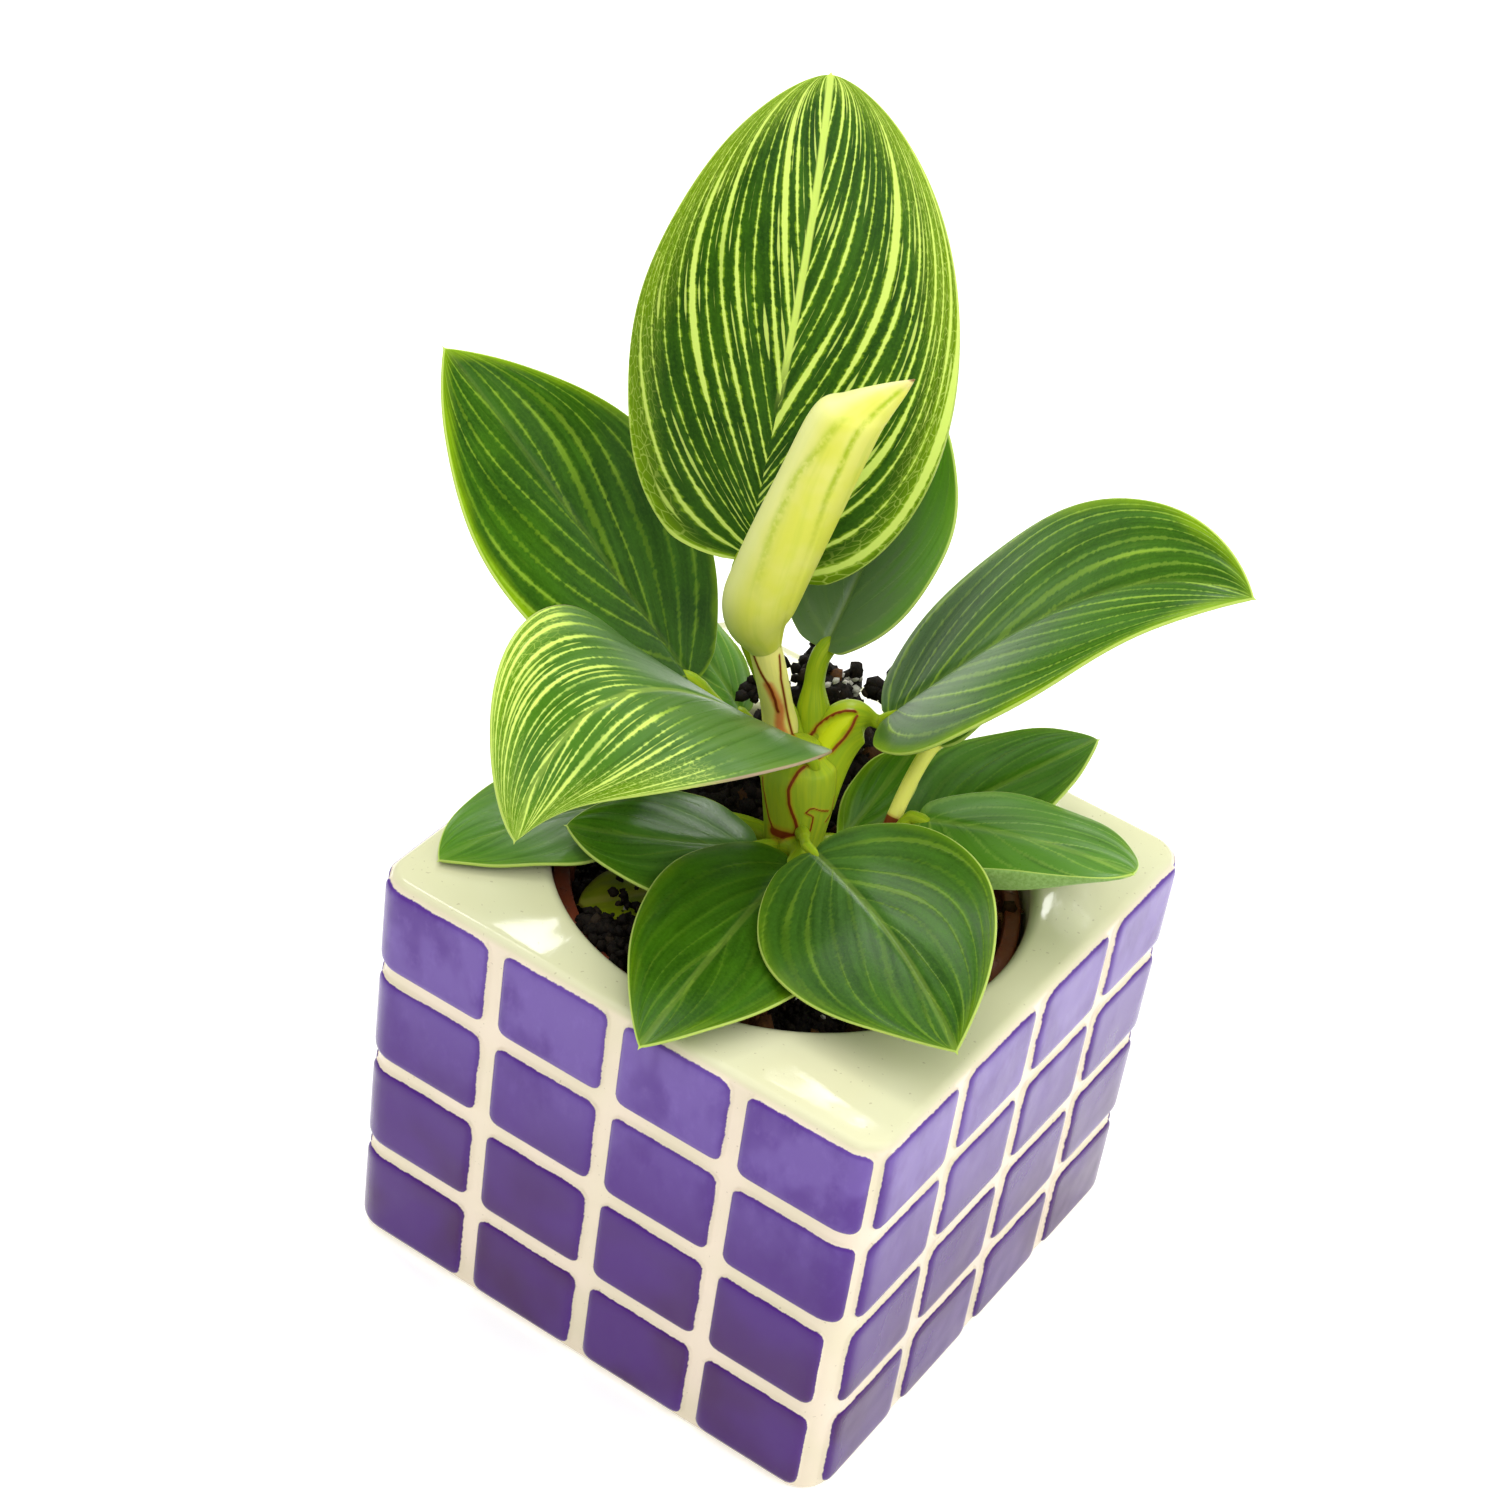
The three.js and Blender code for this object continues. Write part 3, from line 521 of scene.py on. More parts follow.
under_rim = POT_TOP - POT_RIM_HEIGHT
inner_top = pot_radius(POT_TOP) - POT_WALL
inner_foot = pot_radius(POT_FLOOR + POT_WALL) - POT_WALL
pot_profile = [(1, POT_FLOOR), (POT_FOOT_RADIUS - 0.5, POT_FLOOR),
               (POT_FOOT_RADIUS, POT_FLOOR + 0.6), (pot_radius(30), 30), (pot_radius(50), 50),
               (pot_radius(under_rim), under_rim), (POT_RIM_RADIUS - 0.2, under_rim + 0.7),
               (POT_RIM_RADIUS, under_rim + 1), (POT_RIM_RADIUS, POT_TOP - 0.35),
               (POT_RIM_RADIUS - 0.12, POT_TOP - 0.1), (POT_RIM_RADIUS - 0.4, POT_TOP),
               (inner_top + 0.3, POT_TOP), (inner_top + 0.08, POT_TOP - 0.1),
               (inner_top, POT_TOP - 0.35), (pot_radius(50) - POT_WALL, 50),
               (pot_radius(30) - POT_WALL, 30), (inner_foot, POT_FLOOR + POT_WALL + 0.6),
               (inner_foot - 0.5, POT_FLOOR + POT_WALL), (1, POT_FLOOR + POT_WALL)]
pot = make_piece("nursery_pot_moulded", turned(pot_profile), moulded_finish(),
                 "terracotta_plastic", "nursery_pot")

drill_mesh = bpy.data.meshes.new("drill")
drill_form = bmesh.new()
for bearing in all_round(4) + math.pi / 4:
    middle = Matrix.Translation((DRAIN_CIRCLE * MM * math.cos(bearing),
                                 DRAIN_CIRCLE * MM * math.sin(bearing), POT_FLOOR * MM))
    bmesh.ops.create_cone(drill_form, cap_ends=True, segments=32, radius1=DRAIN_RADIUS * MM,
                          radius2=DRAIN_RADIUS * MM, depth=DRAIN_DEPTH * MM, matrix=middle)
drill_form.to_mesh(drill_mesh)
drill_form.free()
drill = add_object("drill", drill_mesh)
cut = pot.modifiers.new("drain holes", "BOOLEAN")
cut.operation = "DIFFERENCE"
cut.object = drill
bpy.context.view_layer.objects.active = pot
bpy.ops.object.modifier_apply(modifier=cut.name)
bpy.data.objects.remove(drill)
print("nursery pot faces after drilling:", len(pot.data.polygons))

# %% [markdown]
# ## Peat
#
# The root ball is black peat with a few white perlite grains, bark chips and a ragged mound at
# the back. A displaced surface alone looks like cloth, so the ground is a lumpy skin and some
# thousands of crumbs lie on it. Each crumb is a bent icosahedron of twenty faces, because that
# many pieces must stay light.

# %% Soil surface
SOIL_LEVEL = 66.5
MOUND_HEIGHT = 22
MOUND_BEARING = 116
MOUND_SPREAD = 20
MOUND_REACH = 30  # full height from here outwards, falling over the next value inwards
MOUND_FALL = 7
SETTLING = 3  # how far the peat has sunk at the pot's wall
SOIL_GAP = 0.3  # from the soil to the pot
STEM_HOLE = (-3, 4, 4.7)  # x, y and radius
STALK_HOLE = (10, 5, 1.6)
SOIL_COLUMNS = 180
chance = np.random.default_rng(11)


def soil_height(x, y):
    """Level + mound (a bell in bearing and in distance from the wall) + lumps - settled edge."""
    radius = np.hypot(x, y)
    bearing = np.degrees(np.arctan2(y, x))
    mound = (MOUND_HEIGHT * np.exp(-((bearing - MOUND_BEARING) / MOUND_SPREAD) ** 2)
             * np.exp(-((np.minimum(radius, MOUND_REACH) - MOUND_REACH) / MOUND_FALL) ** 2))
    lumps = (0.9 * np.sin(0.55 * x + 1) * np.sin(0.5 * y + 2)
             + 0.5 * np.sin(1.1 * x - 0.7 * y))
    return SOIL_LEVEL + mound + lumps - SETTLING * (radius / 34) ** 6


def ripples(points, wavelength, seed, waves=9):
    """A sum of sine waves in random directions, each of about this wavelength, from -1 to 1."""
    source = np.random.default_rng(seed)
    ways = unit(source.normal(size=(waves, points.shape[-1])))
    rates = 2 * math.pi / (wavelength * source.uniform(0.6, 1.5, waves))
    phases = source.uniform(0, 2 * math.pi, waves)
    return np.sin(points @ (ways * rates[:, None]).T + phases).mean(-1) * 1.6


def soil_ground():
    """A polar grid over the soil, down its side and across its floor, roughened by ripples."""
    circle = unit_circle(all_round(SOIL_COLUMNS))
    floor = POT_FLOOR + POT_WALL + SOIL_GAP
    shoulder = SOIL_LEVEL - 7
    rim = pot_radius(shoulder) - POT_WALL - SOIL_GAP
    foot = pot_radius(floor) - POT_WALL - SOIL_GAP
    low_radii = np.array([6, foot - 1, foot, rim])
    low = at_heights(circle * low_radii[:, None, None], [floor, floor, floor + 1, shoulder])
    radii = np.concatenate([[rim], np.linspace(rim - 0.5, 0.8, 70)])
    flat = circle * radii[:, None, None]
    z = soil_height(flat[..., 0], flat[..., 1])
    rough = (0.45 * ripples(flat, 3.2, 1) + 0.3 * ripples(flat, 1.4, 2))
    z = z + rough * smooth(rim, rim - 2, radii)[:, None]
    z[0] -= 1.5
    top = np.concatenate([flat, z[..., None]], -1)
    return skin(np.concatenate([low, top]), {"kind": 0.0, "shade": 0.0})


def crumb_field(places, sizes, stretch, kind, seed):
    """Bent icosahedra: 12 corners scaled, jittered and turned for each place, as one array."""
    source = np.random.default_rng(seed)
    golden = (1 + math.sqrt(5)) / 2
    corners = unit(np.array([(-1, golden, 0), (1, golden, 0), (-1, -golden, 0), (1, -golden, 0),
                             (0, -1, golden), (0, 1, golden), (0, -1, -golden),
                             (0, 1, -golden), (golden, 0, -1), (golden, 0, 1),
                             (-golden, 0, -1), (-golden, 0, 1)], float))
    faces = np.array([(0, 11, 5), (0, 5, 1), (0, 1, 7), (0, 7, 10), (0, 10, 11), (1, 5, 9),
                      (5, 11, 4), (11, 10, 2), (10, 7, 6), (7, 1, 8), (3, 9, 4), (3, 4, 2),
                      (3, 2, 6), (3, 6, 8), (3, 8, 9), (4, 9, 5), (2, 4, 11), (6, 2, 10),
                      (8, 6, 7), (9, 8, 1)])
    count = len(places)
    jitter = source.uniform(0.7, 1.25, (count, 12, 1))
    scale = sizes[:, None, None] * source.uniform(1 / stretch, stretch, (count, 1, 3)) / 2
    body = corners[None] * jitter * scale
    turns = np.linalg.qr(source.normal(size=(count, 3, 3)))[0]
    turns *= np.sign(np.linalg.det(turns))[:, None, None]
    points = np.einsum("nij,nkj->nki", turns, body) + places[:, None, :]
    all_faces = (faces[None] + 12 * np.arange(count)[:, None, None]).reshape(-1, 3)
    shade = np.repeat(source.uniform(0, 1, count), 12)
    return (points.reshape(-1, 3), all_faces.tolist(),
            {"kind": np.full(count * 12, float(kind)), "shade": shade})


def scattered(count, low, high, seed, pull):
    """Places on the soil between two radii; a share, pull, lies near the mound's bearing."""
    source = np.random.default_rng(seed)
    radius = np.sqrt(source.uniform(low ** 2, high ** 2, count))
    angle = source.uniform(-math.pi, math.pi, count)
    near = math.radians(MOUND_BEARING) + source.normal(0, 0.33, count)
    angle = np.where(source.uniform(0, 1, count) < pull, near, angle)
    x, y = radius * np.cos(angle), radius * np.sin(angle)
    clear = np.ones(count, bool)
    for middle_x, middle_y, hole in (STEM_HOLE, STALK_HOLE):
        clear &= np.hypot(x - middle_x, y - middle_y) > hole
    x, y = x[clear], y[clear]
    return np.stack([x, y, soil_height(x, y)], -1)


# Loose grains, one row each for fine crumbs, clods, perlite and bark: how many, the least and
# the most distance from the middle, the pull to the mound, how far they stand up, the least and
# the most size, how uneven they are, and their kind (0 peat, 1 perlite, 2 bark).
LOOSE = [(2600, 0, 33.6, 0, 0, 0.7, 1.8, 1.25, 0),
         (1100, 20, 33.2, 0.95, 0, 1.0, 3.4, 1.3, 0),
         (170, 4, 33.0, 0.2, 0.45, 0.4, 1.3, 1.2, 1),
         (70, 12, 33.0, 0.1, 0.4, 1.2, 3.4, 1.9, 2)]
grains = []
for row, (count, low, high, pull, lift, least, most, stretch, kind) in enumerate(LOOSE):
    spots = scattered(count, low, high, 21 + row, pull) + (0, 0, lift)
    sizes = chance.uniform(least, most, len(spots))
    grains.append(crumb_field(spots, sizes, stretch, kind, 31 + row))

# Clumps that stand out: middle, spread, how many, least and most size, and kind.
CLUMPS = [
    ((-16.4, -28.7, 70.8), 1.2, 40, 0.9, 2.4, 0), ((-13.5, -29.9, 70.6), 1.2, 34, 0.8, 2.2, 0),
    ((-10.4, -30.7, 70.4), 1.1, 24, 0.9, 2.2, 0), ((-13.4, -27, 70.4), 1.4, 26, 0.9, 2.6, 0),
    ((-16.2, -21.6, 70.2), 1.4, 16, 0.8, 2.2, 0), ((-11.6, -25.2, 69.4), 1.5, 16, 0.9, 2.4, 0),
    ((-5.5, 31, 86.5), 1.4, 16, 1.6, 3.4, 0), ((-12.5, 30, 87.5), 1.8, 14, 1.4, 3.2, 0),
    ((-18, 28, 87.5), 1.7, 18, 1.6, 3.4, 0), ((-23.5, 22, 84), 1.8, 14, 1.4, 3.0, 0),
    ((-11, 28, 86.5), 1.6, 30, 0.6, 1.5, 1), ((27.5, 17.5, 68.6), 1.8, 10, 1.6, 3.2, 2),
    ((11.5, -25.4, 68.2), 1.3, 3, 3.0, 5.0, 2), ((2, -28.5, 67.6), 2.5, 12, 0.7, 1.3, 1)]
# The upright back of the mound, above the pot's rim.
BACK_CRUMBS = 300
BACK_RADIUS = 33.2
BACK_SPREAD = 13


def clump(middle, spread, count, least, most, kind):
    """Grains heaped about a middle: normal offsets, flatter upwards."""
    source = np.random.default_rng(round(abs(middle[0]) * 10 + abs(middle[1])))
    heap = source.normal(0, 1, (count, 3)) * (spread, spread, spread * 0.6) + middle
    return crumb_field(heap, source.uniform(least, most, count), 1.5 if kind == 2 else 1.3, kind,
                       count)


grains += [clump(*heap) for heap in CLUMPS]
bearing = np.radians(MOUND_BEARING + chance.normal(0, BACK_SPREAD, BACK_CRUMBS))
spots = at_heights(BACK_RADIUS * unit_circle(bearing)[None], [POT_TOP + 0.5])[0]
above_rim = np.maximum(soil_height(*spots[:, :2].T) - POT_TOP - 1, 0)
spots[:, 2] += chance.uniform(0, 1, BACK_CRUMBS) * above_rim
sizes = chance.uniform(0.9, 2.8, BACK_CRUMBS)
grains.append(crumb_field(spots, sizes, 1.3, 0, 35))


# %% Peat finish
def peat_finish():
    """Damp peat: almost black, matt, with a faint damp glint; perlite is chalky, bark is brown."""
    finish, add = new_finish("damp_peat_with_perlite")
    fibre = add("noise", add("place"), per(0.8), 4.0, 0.7)
    peat = coats(add, "#0d0a08", (add("ramp", fibre, 0.35, 0.75), "#2a2019"),
                 (add("ramp", "shade", 0.8, 1.0, 0.0, 0.5), "#3f3123"))
    stone = add("mix", fibre, "#d9d6cb", "#9a948a")
    chip = coats(add, "#5a351c", (add("ramp", fibre, 0.3, 0.7), "#8a5a34"), ("shade", "#33200f"))
    colour = coats(add, peat, (add("ramp", "kind", 0.4, 0.6), stone),
                   (add("ramp", "kind", 1.4, 1.6), chip))
    return set_shader(finish, {"Base Color": colour, "Specular IOR Level": 0.15,
                               "Roughness": add("ramp", fibre, 0.3, 0.7, 0.55, 0.95)},
                      fibre, 0.5, 0.9)


make_piece("soil_with_perlite", join([soil_ground()] + grains), peat_finish(), "peat", "soil")

# %% [markdown]
# ## Leaf blades
#
# A birkin leaf is a heart-shaped blade with a sunken midrib and side veins that leave it at a
# sharp angle and sweep up to the margin. A flat card with a picture on it would look thin, so
# each blade is a closed tube about half a millimetre thick. Its outline, arch and twist are
# rules of two numbers: v runs from foot to tip, and u from the left margin to the right one.
# Every point also knows which side vein it lies on, so the stripes can follow the veins.

# %% Leaf dimensions
USUAL_LEAF = dict(bend=1.3, roll=0, twist=0, fold=0, lobe=0.03, base=0.03, sheath=0.5)
LEAVES = {
    "leaf_01": dict(foot=(-23, 12, 114), heading=106, rise=70, droop=22, bend=1.4, sweep=18,
                    roll=-7, twist=1, length=74, width=52, fold=1, arch=21, shoulder=0.41,
                    point=0.64, start=(-6, 10, 84), rising=(-6, 1, 10), stalk=1.9, reach=10),
    "leaf_02": dict(foot=(-28.5, 11, 88), heading=192, rise=45, droop=11, bend=1.4, sweep=-11,
                    roll=3, twist=-17, length=65, width=46, fold=6, arch=1, lobe=0.02,
                    shoulder=0.6, point=0.95, start=(-5, 9, 80), rising=(-8, 3, 0), stalk=1.8,
                    reach=5),
    "leaf_03": dict(foot=(-4, 4, 92), heading=226, rise=40, droop=105, bend=2.2, sweep=61,
                    roll=39, twist=-93, length=69, width=45, arch=1, lobe=0.05, shoulder=0.39,
                    point=0.87, base=0.35, start=(-3, 7, 83), rising=(1, -1, 4), stalk=1.8,
                    reach=3),
    "leaf_04": dict(foot=(2, 19, 93), heading=25, rise=53, droop=49, bend=3, sweep=-30, roll=2,
                    twist=28, length=70, width=44, fold=11, arch=11, shoulder=0.58, point=0.94,
                    start=(-3, 8, 80), rising=(-1, 5, 7), stalk=1.9, reach=4, sheath=0.85),
    "leaf_05": dict(foot=(9, 18.5, 73.5), heading=55, rise=26, droop=0, sweep=-4, twist=-7,
                    length=34, width=26, fold=9, arch=14, lobe=0.05, shoulder=0.5, point=0.8,
                    start=(-2, 7, 70), rising=(2, 6, 1), stalk=1.4, reach=3),
    "leaf_06": dict(foot=(14.5, 12, 84), heading=10, rise=17, droop=4, sweep=-20, roll=-4,
                    twist=-14, length=37, width=28, fold=2, arch=6, lobe=0.05, shoulder=0.59,
                    point=0.7, start=(-1, 2, 71.5), rising=(14, 0, -1), stalk=1.2, reach=2,
                    curl=dict(start=0.65, turn=135, drop=16, widen=1.3)),
    "leaf_07": dict(foot=(-10, 18, 101), heading=91, rise=51, droop=0, sweep=9, roll=-15,
                    twist=2, length=41, width=30, fold=18, arch=12, shoulder=0.64, point=0.79,
                    start=(-4, 10, 82), rising=(-3, 4, 7), stalk=1.6, reach=5, sheath=0.75),
    "leaf_08": dict(foot=(-24, 20, 79), heading=180, rise=46, droop=25, sweep=13, roll=10,
                    twist=-8, length=26, width=21, arch=14, lobe=0.04, shoulder=0.56, point=0.72,
                    start=(-5, 8, 75), rising=(-7, 4, -1), stalk=1.3, reach=4),
    "leaf_09": dict(foot=(3.2, 9, 75), heading=81, rise=34, droop=4, sweep=6, roll=4, length=19,
                    width=10, fold=8, arch=10, shoulder=0.8, point=0.75, start=(-2, 5, 73),
                    rising=(2, 0, 1), stalk=1.2, reach=2),
    "leaf_10": dict(foot=(8, -9, 87), heading=-21, rise=5, droop=17, sweep=-14, roll=15,
                    twist=15, length=44, width=35, fold=3, arch=8, shoulder=0.59, point=0.97,
                    start=(-1, 3, 78), rising=(3, -4, 6), stalk=1.4, reach=4),
    "leaf_11": dict(foot=(3, -5, 79.3), heading=279, rise=8, droop=25, sweep=-6, roll=-3,
                    twist=4, length=47, width=31, arch=10, lobe=0.05, shoulder=0.49, point=0.89,
                    start=(-2, 2, 74), rising=(2, -2, 4), stalk=1.4, reach=2),
    "leaf_12": dict(foot=(-5, -3, 76.5), heading=231, rise=9, droop=5, sweep=-20, twist=-4,
                    length=30, width=25, arch=2, lobe=0.04, shoulder=0.56, point=0.81,
                    start=(-3, 4, 74), rising=(-1, -3, 1), stalk=1.3, reach=2),
    "leaf_13": dict(foot=(-25.5, -8.3, 76.9), heading=232, rise=0, droop=4, sweep=26, roll=1,
                    twist=2, length=33, width=24, fold=1, arch=2, lobe=0.05, shoulder=0.46,
                    point=0.83, start=(-5, 5, 72), rising=(-9, 0, 0), stalk=1.2, reach=2),
    "leaf_14": dict(foot=(10.4, 21, 92), heading=70, rise=45, droop=20, sweep=0, length=22,
                    width=9, fold=8, arch=10, lobe=0.04, shoulder=0.5, point=0.8,
                    start=(10, 5, 64), rising=(0, 1.5, 8), stalk=1.2, reach=6),
}
LEAVES = {name: USUAL_LEAF | leaf for name, leaf in LEAVES.items()}
OLD_LEAF = USUAL_LEAF | dict(foot=(-9.8, -5.6, 68.5), heading=231, rise=-4, droop=0, bend=1,
                             sweep=3, length=22, width=15, arch=6, shoulder=0.6, point=0.7)
BLADE_THICKNESS = 0.6
KEEL_SHARE = 0.021  # how far the midrib stands out below, as a share of the width
DRIP_TIP = 0.5
VEIN_SWEEP = 4.0  # how sharply the side veins turn towards the tip
VEIN_START = 0.045
MIDRIB_STEPS = 40
PLEAT = 0.07  # half the height of the folds between side veins
GROOVE = 0.34

longest = max(leaf["length"] for leaf in LEAVES.values())
print("leaves:", len(LEAVES), "and the longest midrib:", longest, "mm")

# %% Leaf surface
def eased(count, even):
    """Shares from 0 to 1, closer at both ends: even x s + (1 - even)(1 - cos(pi s)) / 2."""
    s = np.linspace(0, 1, count)
    return even * s + (1 - even) * (1 - np.cos(math.pi * s)) / 2


def blade_frame(leaf, v):
    """Unit vectors ahead, to the side and up off the face, at a share v of the midrib.

    pitch = rise - droop v^bend, heading = heading + sweep v, roll = roll + twist v."""
    v = np.clip(v, 0, 1)
    pitch = np.radians(leaf["rise"] - leaf["droop"] * v ** leaf["bend"])
    heading = np.radians(leaf["heading"] + leaf["sweep"] * v)
    roll = np.radians(leaf["roll"] + leaf["twist"] * v)[..., None]
    ahead = np.stack([np.cos(pitch) * np.cos(heading), np.cos(pitch) * np.sin(heading),
                      np.sin(pitch)], -1)
    level = np.stack([np.sin(heading), -np.cos(heading), np.zeros_like(heading)], -1)
    lift = np.cross(level, ahead)
    up = lift * np.cos(roll) + level * np.sin(roll)
    side = level * np.cos(roll) - lift * np.sin(roll)
    return ahead, side, up


def midrib_at(leaf, v):
    """The midrib is the sum of short steps ahead; before the foot it runs straight back."""
    ahead, _, _ = blade_frame(leaf, (np.arange(MIDRIB_STEPS) + 0.5) / MIDRIB_STEPS)
    steps = ahead * leaf["length"] / MIDRIB_STEPS
    line = np.array(leaf["foot"]) + np.concatenate([np.zeros((1, 3)), np.cumsum(steps, 0)])
    knots = np.arange(MIDRIB_STEPS + 1) / MIDRIB_STEPS
    on = np.stack([np.interp(np.clip(v, 0, 1), knots, line[:, k]) for k in range(3)], -1)
    first, _, _ = blade_frame(leaf, np.zeros_like(v))
    last, _, _ = blade_frame(leaf, np.ones_like(v))
    beyond = np.minimum(v, 0)[..., None] * first + np.maximum(v - 1, 0)[..., None] * last
    return on + beyond * leaf["length"]


def shut(leaf, v):
    """The base rounds shut over its share of the length: a quarter of an ellipse."""
    gap = 1 - np.clip(v / leaf["base"], 0, 1)
    return np.sqrt(1 - gap ** 2)


def half_width(leaf, v):
    """Half width in mm: v^shoulder (1 - v)^point scaled to the widest, and a fine drip tip."""
    shoulder, point, start = leaf["shoulder"], leaf["point"], 0.01

    def raw(t):
        return (t + start) ** shoulder * np.clip(1 - t, 0, 1) ** point

    widest = (shoulder - point * start) / (shoulder + point)
    blade = leaf["width"] / 2 * raw(v) / raw(widest) * shut(leaf, v)
    drip = 0.34 * np.clip((1 + DRIP_TIP / leaf["length"] - v) * leaf["length"], 0, 1)
    return np.where(v > 0.9, np.maximum(blade, drip), blade)


def arc(slope, bend, length):
    """Out and up along an arc that leaves at slope and bends down by bend per mm."""
    end = slope - bend * length
    return (np.sin(slope) - np.sin(end)) / bend, (np.cos(end) - np.cos(slope)) / bend, end


def cross_section(leaf, u, v):
    """Across, raised and end slope of the section: one arc, or two where the margin curls up."""
    bend = math.radians(leaf["arch"]) / (leaf["width"] / 2)
    fold = math.radians(leaf["fold"])
    rim = half_width(leaf, v)
    across, raised, end = arc(fold, bend, np.abs(u) * rim)
    if "curl" not in leaf:
        return across, raised, end
    curl = leaf["curl"]
    start, wide = curl["start"], curl["widen"] * np.maximum(rim, 0.05)
    in_a, in_r, in_e = arc(fold - math.radians(curl["drop"]), bend, np.clip(u, 0, start) * wide)
    turn = math.radians(-curl["turn"]) * np.sqrt(np.sin(math.pi * np.clip(v, 0.001, 0.999)))
    out_a, out_r, out_e = arc(in_e, turn / ((1 - start) * wide), np.clip(u - start, 0, 1) * wide)
    right = u > 0
    return (np.where(right, in_a + out_a, across), np.where(right, in_r + out_r, raised),
            np.where(right, np.where(u > start, out_e, in_e), end))


def vein_of(u, v):
    """A number that is the same all along one side vein and grows from the midrib to the margin.

    The vein that leaves the midrib at a share p of its length runs through the places where
    v = 1 - (1 - p)^(1 + sweep h), h = |u| / (1 - |u|), so it bends up beside the margin and
    meets the others at the tip. The number is -log(p + VEIN_START), which spaces them evenly."""
    h = np.abs(u) / (1.004 - np.abs(u))
    leaves_at = 1 - np.clip(1 - v, 1e-4, 1) ** (1 / (1 + VEIN_SWEEP * h))
    return -np.log(leaves_at + VEIN_START)


def blade_shell(leaf, seed, wave=0.25):
    """Rings along the blade: each goes over the face from margin to margin and back below.

    The face is sunk along the midrib and lightly pleated between side veins, the underside
    carries the midrib as a keel, and both meet in a rounded margin."""
    rows = 40 + round(leaf["length"])
    half = 26 + round(leaf["width"] * 0.45)
    v_line = eased(rows, 0.35) * (1 + (DRIP_TIP - 0.02) / leaf["length"])
    v_line[0] = 0.0004
    right = eased(half + 1, 0.42)
    u_line = np.concatenate([-right[::-1], right[1:]])
    loop = np.concatenate([u_line, u_line[-2:0:-1]])
    below = np.concatenate([np.zeros(len(u_line)), np.ones(len(u_line) - 2)])
    u, v = np.meshgrid(loop, v_line)
    face = 1 - 2 * np.broadcast_to(below, u.shape)
    rim = half_width(leaf, v)
    back = leaf["lobe"] * np.clip(1 - v, 0, 1) ** 3 * (1 - np.cos(math.pi * u)) * shut(leaf, v) / 2
    y = v - back
    _, side, up = blade_frame(leaf, y)
    across, raised, end = cross_section(leaf, u, v)
    hand = np.sign(u)
    middle = midrib_at(leaf, y) + side * (hand * across)[..., None] + up * raised[..., None]
    off = up * np.cos(end)[..., None] - side * (hand * np.sin(end))[..., None]
    from_rib = np.abs(u) * rim
    from_edge = (1 - np.abs(u)) * rim
    vein = vein_of(u, v)
    open_blade = smooth(0, 2.5, from_edge) * smooth(0.3, 2.5, from_rib)
    pleats = PLEAT * np.sin(2 * math.pi * (vein * 0.9 + 0.13 * seed)) * open_blade
    groove = -GROOVE * np.exp(-(from_rib / 0.75) ** 2) * np.sqrt(np.clip(1 - v, 0, 1))
    keel = KEEL_SHARE * leaf["width"] * np.clip(1 - v, 0, 1) * np.exp(-(from_rib / 1.3) ** 2)
    waves = wave * np.sin(2 * math.pi * (2.3 * v + 0.31 * seed + 0.2 * hand)) * np.abs(u) ** 3
    waves = waves * smooth(0, 0.15, v) * smooth(1, 0.8, v)
    rounding = np.sqrt(1 - (1 - np.clip(from_edge / 0.45, 0, 1)) ** 2)
    skin_half = BLADE_THICKNESS / 2 * rounding * smooth(-0.1, 0.6, rim)
    height = np.where(face > 0, skin_half + groove, -skin_half - keel) + pleats + waves
    rings = middle + off * height[..., None]
    marks = {"vein": vein, "along": v, "across": u, "edge": from_edge, "rib": from_rib,
             "under": (1 - face) / 2}
    return rings, marks


print("points round leaf_01:", blade_shell(LEAVES["leaf_01"], 1)[0].shape[:2])

# %% [markdown]
# ## Colour of each leaf
#
# The pin stripes come with age and light: the upper leaves are full of them, the lower ones are
# nearly plain. Some leaves carry a waxy bloom that makes them glossier, and their colour is painted
# grey-green there, a painted sheen, most of all near the midrib. These differences are numbers for
# each leaf, carried by its points, so that one finish serves the whole plant.

# %% Looks of each leaf
# How strong the stripes are, how light the green, how waxy (with a painted grey-green sheen),
# how pale the midrib, how golden the rim, and how many stripes there are to a step of the vein
# number.
LOOK_TERMS = ("stripes", "light", "bloom", "rib", "gold", "lines")
LEAF_LOOKS = {
    "leaf_01": (1.00, 0.00, 0.05, 1.0, 0.75, 4.7),
    "leaf_02": (0.24, 0.05, 0.12, 0.1, 1.00, 2.3),
    "leaf_03": (0.95, 0.35, 0.60, 0.4, 0.50, 3.7),
    "leaf_04": (0.34, 0.15, 0.55, 0.1, 0.95, 3.3),
    "leaf_05": (0.05, 0.30, 0.05, 0.2, 0.30, 2.2),
    "leaf_06": (0.14, 0.60, 0.20, 0.2, 0.50, 2.2),
    "leaf_07": (0.04, 1.00, 2.00, 0.2, 0.30, 2.0),
    "leaf_08": (0.24, 1.80, 0.30, 0.2, 1.00, 2.0),
    "leaf_09": (0.05, 0.35, 0.10, 0.2, 0.80, 2.0),
    "leaf_10": (0.07, 0.05, 0.25, 0.2, 0.45, 2.4),
    "leaf_11": (0.05, 0.10, 0.05, 0.2, 0.35, 2.0),
    "leaf_12": (0.04, 0.15, 0.45, 0.1, 0.20, 2.0),
    "leaf_13": (0.04, 0.50, 1.10, 0.1, 0.20, 2.0),
    "leaf_14": (0.15, 0.35, 0.20, 0.3, 0.40, 2.0),
}
PLAIN_BASE = {"leaf_03": 0.56}  # the stripes of this leaf begin this far along it


